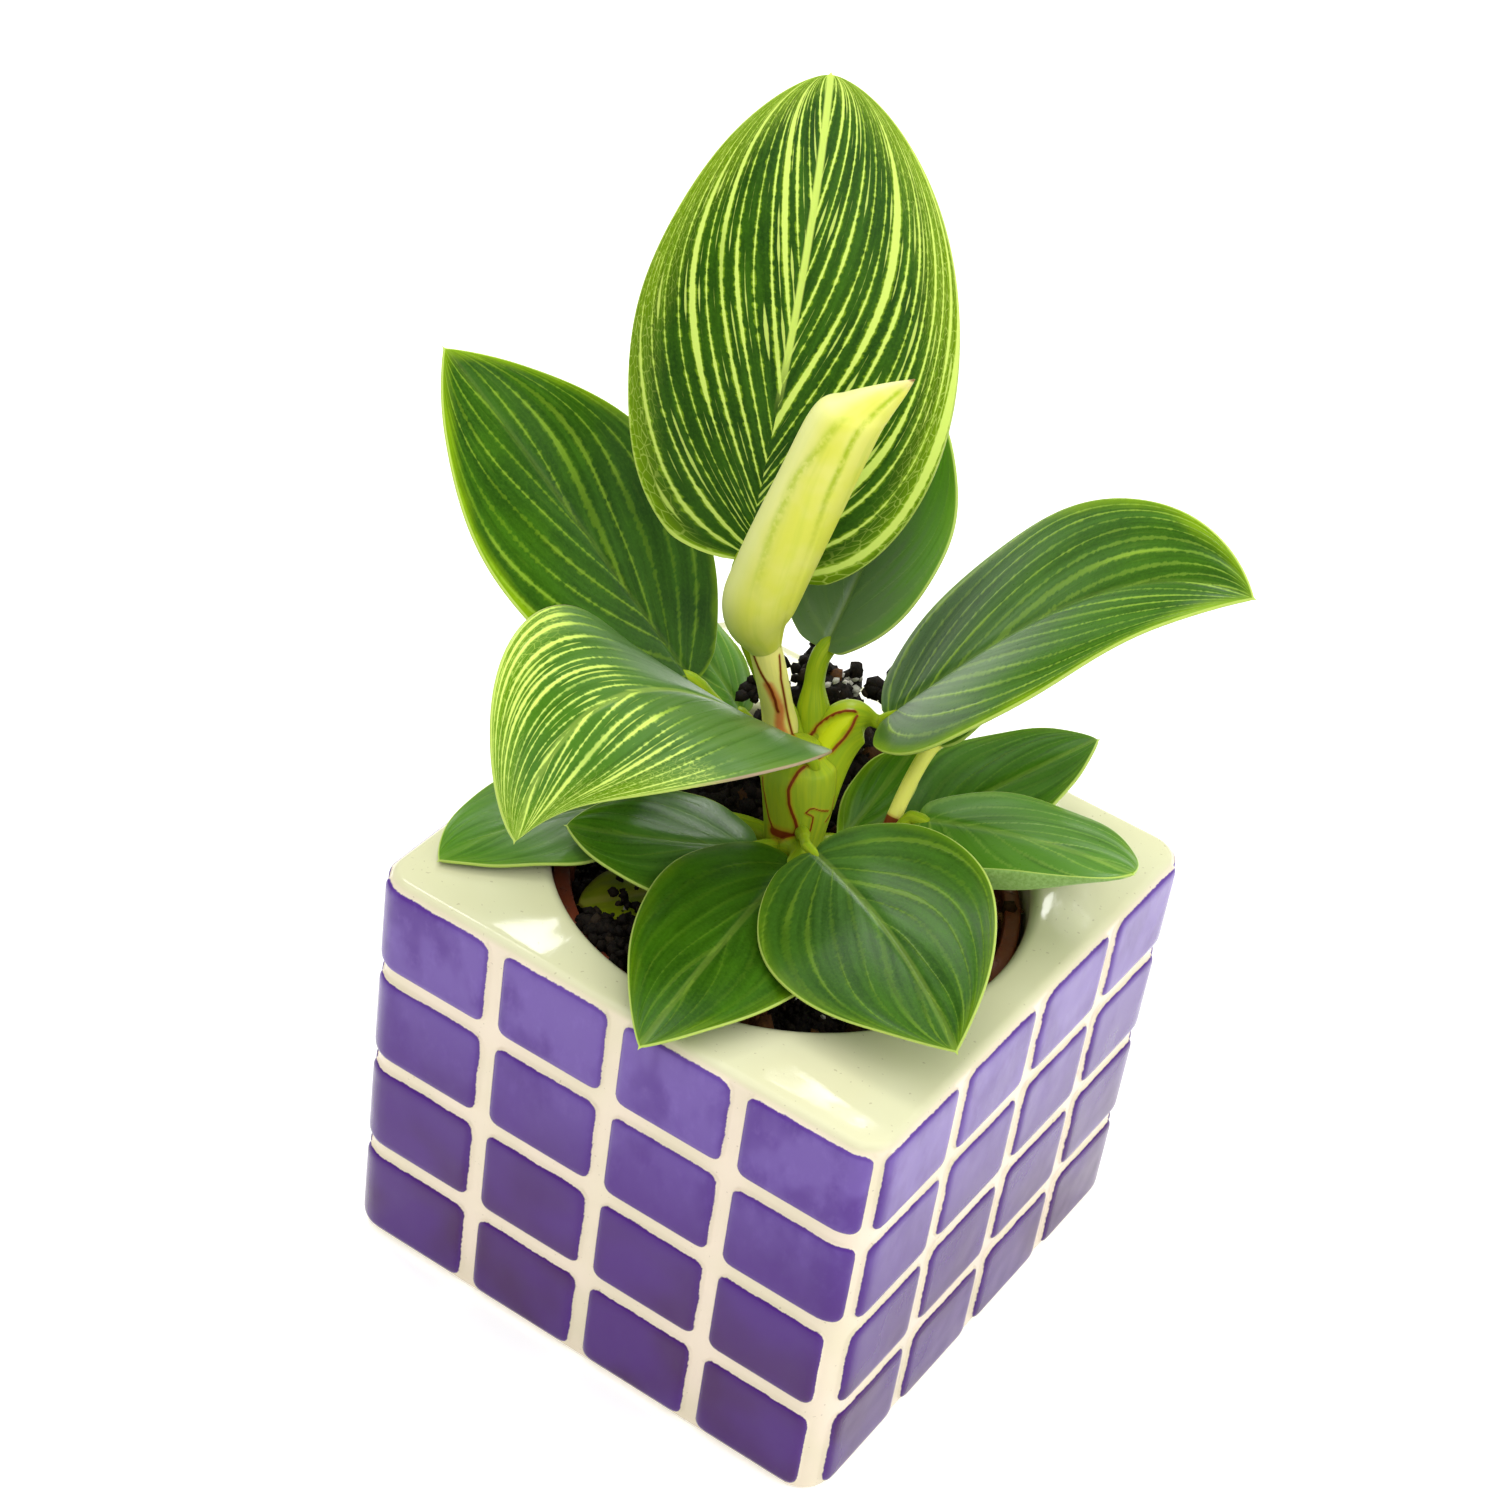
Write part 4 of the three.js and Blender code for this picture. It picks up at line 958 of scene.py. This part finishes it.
def dress(marks, look, seed, plain):
    """Adds the leaf's own numbers to its marks; the bloom, with its painted sheen, fades from the
    midrib and the foot.
    """
    v = marks["along"]
    # The waxy share raises the gloss and is also painted into the colour as a grey-green sheen; a
    # plain foot is painted with it all across.
    near_rib = np.exp(-(marks["rib"] / 8) ** 2) * 0.7 + 0.3
    waxy_sheen_part = near_rib * smooth(0.9, 0.25, v)
    if plain > 0:
        waxy_sheen_part = smooth(plain + 0.2, plain - 0.1, v)
    return marks | {
        "vein": marks["vein"] * look["lines"],
        "stripes": look["stripes"] * smooth(plain - 0.14, plain + 0.04, v),
        "rosy": smooth(plain + 0.1, plain - 0.1, v),
        "bloom": look["bloom"] * waxy_sheen_part,
        "light": look["light"],
        "pale_rib": look["rib"] * (smooth(0.30, 0.46, v) if look["rib"] > 0.9 else 0.6),
        "gold": look["gold"],
        "seed": seed}


print("stripes of each leaf:", [row[0] for row in LEAF_LOOKS.values()])

# %% [markdown]
# ## Leaf finish
#
# A fresh aroid leaf has a waxy cuticle: a smooth, clear skin of IOR about 1.45 over green
# tissue. It is satin rather than glossy, glossiest where the bloom is thick, and there its colour
# is painted grey-green as a painted sheen. Each whole step of the vein number is one stripe, whose
# breadth and breaks come from noise stretched along the vein, so the stripes converge at the tip
# as the veins do. Finer stripes lie between them, a net of small veins shows near the margin of
# the richest leaves, and the margin is a thin pale line.

# %% Leaf finish
def vein_noise(add, vein, seed, across_rate, along_rate, shift, detail=1.0):
    """Noise in vein number by length: long thin streaks that follow the side veins."""
    vector = add("vector", add("multiply", vein, across_rate), add("multiply", "along", along_rate),
                 add("add", seed, shift))
    return add("noise", vector, 1.0, detail)


def stripe_marks(add, seed, number, rich):
    """(line, halo, stripe): the main stripes, their soft edges, and all pale marks together.

    A stripe lies where the distance from the middle of its step is below its width."""
    from_line = add("absolute", add("subtract", add("fract", number), 0.5))
    teeth = add("subtract", vein_noise(add, "vein", seed, 1.3, 95.0, 23.0, 2.0), 0.5)
    this_line = add("floor", number)
    kind = vein_noise(add, this_line, seed, 1.7, 1.7, 11.0)
    kind = add("power", add("maximum", add("subtract", kind, 0.40), 0.0), 1.6)
    kind = add("multiply", kind, add("multiply_add", rich, 1.0, 0.7))
    width = add("add", kind, 0.015)
    torn = add("multiply_add", teeth, 0.15, from_line)
    line = add("ramp", torn, add("add", width, 0.04), add("subtract", width, 0.03))
    fades = vein_noise(add, this_line, seed, 1.9, 2.6, 61.0)
    line = add("multiply", line, add("ramp", add("multiply_add", rich, 0.22, fades), 0.40, 0.56))
    halo = add("ramp", add("multiply_add", teeth, 0.45, from_line),
               add("multiply_add", width, 1.3, 0.11), width)
    between = add("subtract", 0.5, from_line)
    next_line = add("floor", add("add", number, 0.5))
    dash = vein_noise(add, next_line, seed, 1.7, 9.0, 37.0)
    fine_width = add("multiply", add("subtract", dash, 0.53), 0.55)
    fine = add("ramp", add("multiply_add", teeth, 0.06, between),
               add("add", fine_width, 0.035), add("subtract", fine_width, 0.03))
    fine = add("multiply", fine, add("multiply_add", rich, 0.7, 0.1))
    net = add("net", add("vector", add("multiply", number, 4.5), add("multiply", "along", 44.0),
                         seed), 1.0)
    net = add("multiply", add("ramp", net, 0.07, 0.02),
              add("multiply", add("ramp", "edge", 7.5, 2.0), rich))
    return line, halo, add("maximum", line, add("maximum", fine, add("multiply", net, 0.4)))


def leaf_finish():
    """Green coats over each other, then the stripes, the midrib and the margin; pale below."""
    finish, add = new_finish("waxy_pin_striped_leaf")
    where = add("place")
    seed = add("multiply_add", add("sign", "across"), 5.3, add("multiply", "seed", 3.7))
    drift = vein_noise(add, "vein", seed, 0.16, 1.3, 0.0)
    rich = add("ramp", "stripes", 0.3, 0.85)
    line, halo, stripe = stripe_marks(add, seed, add("multiply_add", drift, 2.2, "vein"), rich)
    strength = add("multiply", add("ramp", "stripes", 0.02, 0.9, 0.25, 1.0),
                   add("ramp", "stripes", 0.0, 0.12))
    strength = add("multiply", strength, add("multiply_add", "under", -0.75, 1.0))
    stripe = add("multiply", stripe, strength)

    cells = add("noise", where, per(0.5), 3.0, 0.6)
    cloud = add("noise", where, per(9.0))
    flow = vein_noise(add, "vein", seed, 2.6, 2.2, 71.0, 4.0)
    golden = add("multiply", "gold", add("ramp", add("multiply_add", cloud, 4.0, "edge"),
                                         add("multiply_add", rich, 4.5, 5.0), 1.5))
    golden = add("multiply", golden, add("ramp", flow, 0.3, 0.6, 0.6, 1.0))
    # Waxy share: more specular gloss, and a painted grey-green sheen in the colour.
    waxy_sheen = add("multiply", "bloom", add("ramp", flow, 0.3, 0.65, 0.5, 1.0))
    glow = add("mix", add("ramp", "light", 0.0, 0.3), "#8bb01a", "#9fbe55")
    face = coats(add, "#1b3f00",
                 (add("ramp", cloud, 0.3, 0.7), "#2c5400"),
                 ("light", "#5f9a1c"),
                 (add("ramp", flow, 0.42, 0.72, 0.0, 0.2), "#4f8716"),
                 (add("ramp", flow, 0.5, 0.3, 0.0, 0.35), "#123800"),
                 (add("ramp", cells, 0.4, 0.7, 0.0, 0.15), "#548a1a"),
                 (golden, "#80a400"),
                 # Painted sheen: grey-green where the waxy blade would mirror the bright room.
                 (waxy_sheen, "#5f7c4c"),
                 (add("multiply", add("multiply", halo, strength), 0.6), glow),
                 (stripe, add("mix", rich, "#9cbf3c", "#cbe069")),
                 (add("multiply", add("ramp", "rib", 0.7, 0.35), "pale_rib"), "#c3da62"),
                 (add("multiply", add("ramp", "edge", 0.45, 0.2), 0.7),
                  add("mix", "rosy", "#c6da6c", "#b48f80")))
    below = coats(add, "#6f9145",
                  (add("ramp", cells, 0.3, 0.7), "#84a45a"),
                  (add("multiply", stripe, 1.5), "#b5c97c"),
                  (add("ramp", "rib", 1.6, 0.8), "#9fb965"))
    rough = add("multiply_add", "under", 0.2, add("multiply_add", cells, 0.14, 0.23))
    relief = add("multiply_add", line, 0.3, add("multiply", cells, 0.3))
    return set_shader(finish, {"Base Color": add("mix", "under", face, below), "Roughness": rough,
                               "IOR": 1.45,
                               "Specular IOR Level": add("multiply_add", waxy_sheen, 0.3, 0.14)}
                      | lit_through(0.12, 0.6, 1.0, 0.2), relief, 0.10, 0.7)


leaf_skin = leaf_finish()
for number, (name, leaf) in enumerate(LEAVES.items(), 1):
    rings, marks = blade_shell(leaf, number)
    look = dict(zip(LOOK_TERMS, LEAF_LOOKS[name]))
    marks = dress(marks, look, number, PLAIN_BASE.get(name, -0.2))
    make_piece(name + "_blade", skin(rings, marks), leaf_skin, "leaf_green", name)


# %% [markdown]
# ## Old leaf
#
# The first leaf of the young plant has yellowed, dropped and lies on the peat. It is the same
# surface with other numbers: smaller, flatter, and olive going brown at the margin.

# %% Old leaf
def olive_finish():
    """A dying leaf: the green has left the blade unevenly and the wax has gone dull."""
    finish, add = new_finish("yellowing_leaf")
    cloud = add("noise", add("place"), per(5.0), 3.0)
    shade = coats(add, "#7f920c",
                  (add("ramp", cloud, 0.3, 0.7), "#9ca81a"),
                  (add("ramp", "rib", 1.2, 0.3, 0.0, 0.6), "#b4b24a"),
                  (add("ramp", "edge", 1.2, 0.1, 0.0, 0.6), "#6d5a1e"))
    return set_shader(finish, {"Base Color": shade, "Specular IOR Level": 0.15,
                               "Roughness": add("ramp", cloud, 0.3, 0.7, 0.45, 0.65)},
                      cloud, 0.2, 0.5)


make_piece("old_leaf_blade", skin(*blade_shell(OLD_LEAF, 17, wave=0.15)), olive_finish(),
           "olive_leaf", "old_leaf")


# %% [markdown]
# ## Stalks and sheaths
#
# Every leaf hangs on a juicy stalk whose lower part widens into a sheath and wraps the stem.
# Each stalk is a tube carried along a smooth curve. It runs on under its blade and sinks into
# the midrib, as the real one does, so that no joint shows. The biggest sheath gapes at the top,
# and the free margins of the sheaths are dark red: those lines are paths in space, and each is
# laid on the points of the skin that lie nearest to it.

# %% Stalk tubes
STEM_LINE = [(-3, 4, 56), (-3, 4, 68), (-3.2, 4.9, 75), (-4.2, 6.4, 81), (-5.6, 7.3, 87),
             (-5.6, 7.6, 90.6)]
STEM_RADII = [4.1, 4.4, 4.7, 5.6, 5.7, 2.5]
COLLAR_LENGTH = 1.4
SHEATH_SWELL = 0.7
EVENED = 7  # a path on a skin is the mean of this many steps to either side

# The stalks of the crown that differ from the rest: radius at the blade, swelling of the sheath,
# the shares of the length between which it narrows, and how the curve leaves the stem.
CROWN_STALKS = {
    "leaf_01": dict(stalk=1.7, swell=0.3, narrows=(0.2, 0.5)),
    "leaf_03": dict(stalk=1.0, swell=0.3, narrows=(0.2, 0.5)),
    "leaf_04": dict(stalk=1.1, swell=2.6, narrows=(0.36, 0.8), rising=(-2, 9, 17), reach=1,
                    rows=130, columns=96),
    "leaf_10": dict(stalk=0.8, swell=0.4, narrows=(0.2, 0.5), rising=(3, -4, 4), reach=1.2),
}
MOUTH_PLACE = [0.02, 0.10, 0.22, 0.30, 0.40, 0.50, 0.54]  # shares of the gaping sheath's length
MOUTH_MIDDLE = [45, 44, 42, 40, 40, 49, 50]  # degrees round it
MOUTH_HALF = [0, 30, 37, 32, 22, 6, 0]

# How a stalk runs on under a blade 60 mm long: how far on, its radius and its depth, both as
# shares of the stalk's radius.
RUN_UNDER = np.array([0.2, 0.9, 1.8, 3.0, 4.6, 6.6, 9.0, 12.0])
RUN_RADIUS = np.array([0.97, 0.92, 0.84, 0.72, 0.58, 0.44, 0.30, 0.12])
RUN_DEPTH = np.array([0.18, 0.42, 0.66, 0.78, 0.74, 0.64, 0.52, 0.40])

RED_MARGINS = [  # half width in mm, and the path
    (0.28, [(-6.2, 10.4, 89.5), (-5.4, 11.7, 92), (-3.3, 13.2, 94.4), (-1.4, 14.3, 95.2),
            (-0.6, 14.3, 94.9), (-0.5, 12.8, 93.3), (-1.3, 10.4, 90.6), (-2.1, 6.1, 89.8),
            (-3, 3.7, 89.2), (-3.2, 2.3, 88.1), (-3.4, 1.4, 85.8), (-2.6, 1.3, 83.1),
            (-1.2, 1.5, 80.4), (-1.1, 1.3, 78)]),
    (0.24, [(-13.8, 2.3, 106.7), (-12.4, 3, 103.5), (-10.6, 4.3, 99.8), (-9.7, 5.9, 95.1)]),
    (0.22, [(-10.6, 4.9, 106.4), (-9.8, 5.3, 101.9), (-9.1, 6.8, 96.4), (-7.9, 8.2, 90.2)]),
    (0.24, [(-8.6, 2.6, 85.2), (-7.8, 1.9, 82.7), (-6.2, 1.2, 79.8), (-4.7, 0.7, 78.2)]),
    (0.15, [(-0.4, 2.5, 82.5), (0.1, 3.3, 83.2), (0.9, 4.6, 82.5), (1.4, 6.5, 81.5)]),
    (0.15, [(-0.4, 2.5, 82.5), (0.5, 3.5, 81.4), (0.6, 2.8, 78.8)]),
    (0.2, [(1.3, 8.5, 83), (1.3, 7.6, 80.7), (1.4, 5.9, 79.7)]),
    (0.8, [(-4.6, 0.6, 77.6), (-2.3, 0.8, 78), (-0.6, 1.6, 77.8)]),
]
ORANGE_FLUSH = (0.55, [(-11.2, 4, 101), (-10.2, 5.2, 98), (-9.6, 6, 95.5), (-9.4, 6.5, 92.2),
                       (-8.4, 7.6, 89.5)])


def bezier(points, t):
    """The cubic curve (1-t)^3 a + 3(1-t)^2 t b + 3(1-t) t^2 c + t^3 d."""
    a, b, c, d = (np.asarray(p, float) for p in points)
    t = t[:, None]
    return ((1 - t) ** 3 * a + 3 * (1 - t) ** 2 * t * b + 3 * (1 - t) * t ** 2 * c + t ** 3 * d)


def spline(knots, t):
    """A smooth curve through knots at equal steps: Catmull-Rom, ends doubled."""
    knots = np.asarray(knots, float)
    padded = np.concatenate([2 * knots[:1] - knots[1:2], knots, 2 * knots[-1:] - knots[-2:-1]])
    place_on = np.clip(t, 0, 1) * (len(knots) - 1)
    low = np.minimum(place_on.astype(int), len(knots) - 2)
    f = (place_on - low).reshape((-1,) + (1,) * (knots.ndim - 1))
    a, b, c, d = (padded[low + k] for k in range(4))
    return 0.5 * (2 * b + (c - a) * f + (2 * a - 5 * b + 4 * c - d) * f ** 2
                  + (3 * b - a - 3 * c + d) * f ** 3)


def square_to(ahead, across):
    """Two directions square to a line at each point: across made square to it, and the third."""
    side = unit(across - ahead * (ahead @ across)[:, None])
    return side, np.cross(side, ahead)


def tube(line, radii, across, columns, **marks):
    """Rings square to a line: middle + radius (cos side + sin up), turned to face outwards."""
    ahead = unit(np.gradient(line, axis=0))
    side, up = square_to(ahead, np.asarray(across, float))
    angle = all_round(columns)
    ring = side[:, None] * np.cos(angle)[:, None] + up[:, None] * np.sin(angle)[:, None]
    rings = line[:, None] + ring * radii[..., None]
    marks["along"] = np.linspace(0, 1, len(line))[:, None]
    marks["angle"] = np.degrees(angle)[None]
    return skin(rings[:, ::-1], {name: value[:, ::-1] if np.ndim(value) == 2 else value
                                 for name, value in marks.items()})


def stalk_shell(leaf, tone, rows=44, columns=28, mouth=False, **form):
    """The stalk's curve, then on under the blade, sinking and thinning into the midrib."""
    narrows = (leaf["sheath"] - 0.3, leaf["sheath"])
    form = leaf | dict(swell=SHEATH_SWELL, narrows=narrows) | form
    ahead, side, _ = (way[0] for way in blade_frame(leaf, np.zeros(1)))
    end = leaf["foot"] - ahead * COLLAR_LENGTH
    start = np.array(leaf["start"], float)
    t = np.linspace(0, 1, rows)
    curve = bezier([start, start + form["rising"], end - ahead * form["reach"], end], t)
    run = RUN_UNDER * leaf["length"] / 60
    rib = midrib_at(leaf, run / leaf["length"])
    _, _, rib_up = blade_frame(leaf, run / leaf["length"])
    tail = rib - rib_up * (form["stalk"] * RUN_DEPTH + 0.2)[:, None]
    line = np.concatenate([curve, tail])
    swell = 1 + form["swell"] * (1 - smooth(*form["narrows"], t))
    radii = form["stalk"] * np.concatenate([swell, RUN_RADIUS])[:, None]
    hollow = lip = np.zeros(radii.shape)
    if mouth:
        place_on = np.concatenate([t, np.ones(len(tail))])
        half = np.interp(place_on, MOUTH_PLACE, MOUTH_HALF)[:, None]
        middle = np.interp(place_on, MOUTH_PLACE, MOUTH_MIDDLE)[:, None]
        away = np.abs(np.degrees(all_round(columns)) - middle)
        hollow = smooth(half, half - 9, away) * (half > 0)
        lip = 0.04 * np.exp(-((away - half) / 5) ** 2) * smooth(0, 8, half)
    return tube(line, radii * (1 - 0.3 * hollow + lip), side, columns, tone=tone, hollow=hollow)


def near_path(points, width, path):
    """1 - d / (2.5 width), at least 0, with d the distance to a path dropped onto the points."""
    line = spline(path, np.linspace(0, 1, 40 * len(path)))
    near = np.flatnonzero(((points > line.min(0) - 2) & (points < line.max(0) + 2)).all(1))
    local = points[near]
    landed = local[[np.linalg.norm(local - spot, axis=1).argmin() for spot in line]]
    landed = np.pad(landed, ((EVENED, EVENED), (0, 0)), mode="edge")
    even = np.mean([landed[k:k + len(line)] for k in range(2 * EVENED + 1)], axis=0)
    gap = np.min([np.linalg.norm(local - spot, axis=1) for spot in even], axis=0)
    shade = np.zeros(len(points))
    shade[near] = np.maximum(1 - gap / (2.5 * width), 0)
    return shade


stalks = [stalk_shell(leaf, 0.05, mouth=name == "leaf_04", **CROWN_STALKS.get(name, {}))
          for name, leaf in LEAVES.items() if name != "leaf_14"]
stem_t = np.linspace(0, 1, 140)
stem_core = tube(spline(STEM_LINE, stem_t), spline(STEM_RADII, stem_t)[:, None], (1, 0, 0), 128,
                 tone=0.08, hollow=0.0)
NEW_LEAF_LINE = [(-13.1, 4.9, 106.3), (-14.9, 3.7, 112.8), (-14.2, 5.2, 120), (-11.7, 9.5, 135),
                 (-9.9, 12.6, 145), (-8, 14.5, 147.8), (-5.3, 16.9, 150.6), (-3.2, 18.8, 152.5)]
NEW_LEAF_RADII = [2.4, 5.15, 5.65, 5.5, 5.2, 3.9, 1.95, 0.1]
NEW_STALK = dict(start=(-7.2, 9.2, 83), rising=(-5, 2, 4), stalk=2.5, reach=10, swell=0.4)
new_foot = np.array(NEW_LEAF_LINE[0], float)
new_ahead = unit(NEW_LEAF_LINE[1] - new_foot)
new_start = np.array(NEW_STALK["start"], float)
new_t = np.linspace(0, 1, 120)
new_curve = bezier([new_start, new_start + NEW_STALK["rising"],
                    new_foot - new_ahead * NEW_STALK["reach"], new_foot + new_ahead], new_t)
new_swell = 1 + NEW_STALK["swell"] * (1 - smooth(0.1, 0.6, new_t[:, None]))
new_stalk = tube(new_curve, NEW_STALK["stalk"] * new_swell, (1, 0, 0), 72,
                 tone=smooth(0.05, 0.5, new_t)[:, None], hollow=0.0)

print("stalks on the stem:", len(stalks) + 1)


# %% Stalk finish
def stalk_finish(name, pale):
    """Juicy stalk tissue: yellow-green, smooth and moist, with fine lengthwise streaks."""
    finish, add = new_finish(name)
    streaks = add("vector", add("multiply", "angle", 0.12), add("multiply", "along", 3.0))
    streaks = add("noise", streaks, 1.0, 3.0)
    cloud = add("noise", add("place"), per(4.0))
    shade = coats(add, "#7fa200",
                  (add("ramp", streaks, 0.3, 0.7), "#9db200"),
                  (add("ramp", cloud, 0.45, 0.75, 0.0, 0.3), "#86a808"),
                  ("tone", pale),
                  (add("multiply", "hollow", 0.8), "#d8e41c"),
                  (add("ramp", "orange", 0.1, 0.8), "#e58a4e"),
                  (add("ramp", "red", 0.1, 0.6, 0.0, 0.5), "#b8791a"),
                  (add("ramp", "red", 0.55, 0.76, 0.0, 0.95), "#7c2a10"))
    return set_shader(finish, {"Base Color": shade, "Specular IOR Level": 0.1,
                               "Roughness": add("ramp", cloud, 0.2, 0.8, 0.3, 0.45)}
                      | lit_through(0.35, 1.5, 1.5, 0.3),
                      add("multiply_add", "red", 2.0, streaks), 0.1, 0.5)


points, faces, marks = join(stalks + [stem_core, new_stalk])
marks["red"] = np.max([near_path(points, *margin) for margin in RED_MARGINS], axis=0)
marks["orange"] = near_path(points, *ORANGE_FLUSH)
make_piece("stem_with_sheaths", (points, faces, marks),
           stalk_finish("juicy_green_stalk", "#fdf089"), "stalk_green", "stem")
points, faces, marks = stalk_shell(LEAVES["leaf_14"], 1.0)
marks["red"] = smooth(0.5, 0.47, marks["along"])
marks["orange"] = np.zeros(len(points))
make_piece("stalk_14_yellow", (points, faces, marks),
           stalk_finish("juicy_yellow_stalk", "#fffb7c"), "yellow_stalk", "stalk_14")


# %% [markdown]
# ## New leaf
#
# The next leaf is still rolled up, and its point has begun to open to one side. One margin shows
# as a raised line that winds along it. A real sheet could be rolled, but only its outer turn is
# seen, so a tube with a step in its radius, where the outer margin lies over the turn below, is
# enough. Beyond the shoulder its rings stay square to the straight part while their middles move
# aside, which gives the slanting top.

# %% Rolled leaf
SHOULDER = 4 / 7  # where the straight part ends, as a share of the stations
ROLL_RINGS = 170
ROLL_COLUMNS = 128
ROLL_STEP = 0.075  # the outer margin's height over the turn below, as a share of the radius
# The outer margin, and a green streak: shares of the length, and the angles at them.
MARGIN_PATH = ([0, 0.2, 0.34, 0.43, 0.6, 1], [15, 35, 52, 68, 72, 78])
STREAK_PATH = ([0, 0.22, 0.36, 0.44, 0.52, 1], [80, 95, 122, 128, 112, 84])


def beside_line(t, degrees, path, radius, width):
    """1 on a line drawn round the tube at path's angle for each t, fading over width mm."""
    away = np.radians(degrees - np.interp(t, *path)[:, None]) * radius[:, None]
    return np.exp(-(away / width) ** 2)


def rolled_leaf():
    """Rings of radius x (1 + a falling saw of the angle past the margin), flatter at the point."""
    t = eased(ROLL_RINGS, 0.4)
    line = spline(NEW_LEAF_LINE, t)
    radii = np.maximum(spline(NEW_LEAF_RADII, t), 0.08)
    straight = unit(np.array(NEW_LEAF_LINE[4]) - NEW_LEAF_LINE[2])
    fixed = smooth(0.2, SHOULDER - 0.15, t)[:, None]
    ahead = unit(unit(np.gradient(line, axis=0)) * (1 - fixed) + straight * fixed)
    side, up = square_to(ahead, np.array([0.88, 0.47, 0]))
    angle = all_round(ROLL_COLUMNS)
    degrees = np.degrees(angle)[None]
    past = np.mod(np.interp(t, *MARGIN_PATH)[:, None] - degrees, 360) / 360
    step = ROLL_STEP * (1 - past) * smooth(0, 0.012, past)
    flat = 1 - 0.5 * smooth(SHOULDER, 1, t)
    size = radii[:, None] * (0.96 + step)
    rings = (line[:, None] + side[:, None] * (size * np.cos(angle))[..., None]
             + up[:, None] * (size * np.sin(angle) * flat[:, None])[..., None])
    seam = beside_line(t, degrees, MARGIN_PATH, radii, 0.42) * smooth(0.3, 0.5, t)[:, None]
    seam = seam * smooth(0.98, 0.85, t)[:, None]
    streak = beside_line(t, degrees, STREAK_PATH, radii, 0.7)
    streak = streak * (smooth(0.2, 0.4, t) * smooth(0.72, 0.55, t))[:, None] * 0.7
    # Painted light: the side of the roll towards the light is painted paler cream.
    pale = smooth(95, 160, degrees) * smooth(250, 200, degrees)
    marks = {"streak": np.maximum(seam, streak), "pale": pale, "past": past, "along": t[:, None]}
    return skin(rings[:, ::-1], {name: np.broadcast_to(value, past.shape)[:, ::-1]
                                 for name, value in marks.items()})


def pale_finish():
    """Unfurled tissue without its green: cream-yellow, waxy, faintly streaked along its veins."""
    finish, add = new_finish("pale_rolled_leaf")
    where = add("place")
    veins = add("vector", add("multiply", "past", 22.0), add("multiply", "along", 3.0))
    veins = add("noise", veins, 1.0, 3.0)
    cloud = add("noise", where, per(6.0))
    broken = add("multiply", "streak",
                 add("ramp", add("noise", where, per(0.9)), 0.3, 0.6, 0.35, 1.0))
    shade = coats(add, "#dfde70",
                  (add("ramp", cloud, 0.35, 0.65), "#d9da52"),
                  (add("ramp", veins, 0.45, 0.75, 0.0, 0.35), "#bccb3c"),
                  # Painted highlight on the side of the roll towards the light.
                  (add("multiply", "pale", 0.7), "#e4e6a2"),
                  (broken, "#a9bd12"),
                  (add("ramp", "along", 0.86, 0.97, 0.0, 0.7), "#d9c98e"),
                  (add("ramp", "along", 0.965, 0.99), "#7d5636"))
    return set_shader(finish, {"Base Color": shade, "Specular IOR Level": 0.3,
                               "Roughness": add("ramp", cloud, 0.2, 0.8, 0.38, 0.5)}
                      | lit_through(0.3, 1.5, 1.5, 0.6), veins, 0.08, 0.4)


make_piece("new_leaf_rolled", rolled_leaf(), pale_finish(), "pale_leaf", "new_leaf")

# %% [markdown]
# ## Floor and light
#
# The plant stands on a pale floor in a bright, soft studio: a big softbox overhead, a weaker one
# on the right, and white all round. Two small lamps, one behind and one at the left, stand where
# the leaves mirror them to the camera, and give the blades their bright patches.

# %% Floor, lamps and surroundings
floor_finish, _ = new_finish("pale_floor")
set_shader(floor_finish, {"Base Color": "#fbfbf9", "Roughness": 0.9, "Emission Color": "#ffffff",
                          "Emission Strength": 0.25})
floor_mesh = bpy.data.meshes.new("floor")
floor_mesh.from_pydata([(-3, -3, 0), (3, -3, 0), (3, 3, 0), (-3, 3, 0)], [], [(0, 1, 2, 3)])
floor_mesh.materials.append(floor_finish)
floor = add_object("floor", floor_mesh)
floor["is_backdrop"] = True


def softbox(name, place, aim, size_mm, watts):
    """A square area lamp at a place, turned to face a point, both in mm."""
    lamp = bpy.data.lights.new(name, "AREA")
    lamp.energy = watts
    lamp.size = size_mm * MM
    place = np.array(place, float)
    back = unit(place - aim)
    side = unit(np.cross((0, 0, 1), back))
    add_object(name, lamp, np.column_stack([side, np.cross(back, side), back, place * MM]))


softbox("softbox_key", (-10, -170, 780), (0, 0, 80), 950, 4.7)
softbox("softbox_back", (-263, 464, 510), (0, 0, 80), 190, 2.0)
softbox("softbox_window", (-370, 99, 650), (0, 0, 80), 150, 0.8)
softbox("softbox_fill", (540, 60, 430), (0, 0, 60), 500, 1.8)
world = bpy.data.worlds.new("white_studio")
world.use_nodes = True
background = world.node_tree.nodes["Background"]
fill(world.node_tree, background, {"Color": "#ffffff", "Strength": 0.5})
bpy.context.scene.world = world
bpy.context.scene.view_settings.view_transform = "Standard"

# %% [markdown]
# ## Size and finish
#
# Last, the dressed plant's box is printed next to that of the solids, so the two can be compared.

# %% Print the sizes
plant_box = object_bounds()
sizes = {"cad": [list(map(float, corner)) for corner in cad_box],
         "visual": [list(map(float, corner)) for corner in plant_box]}
print("sizes:", sizes)
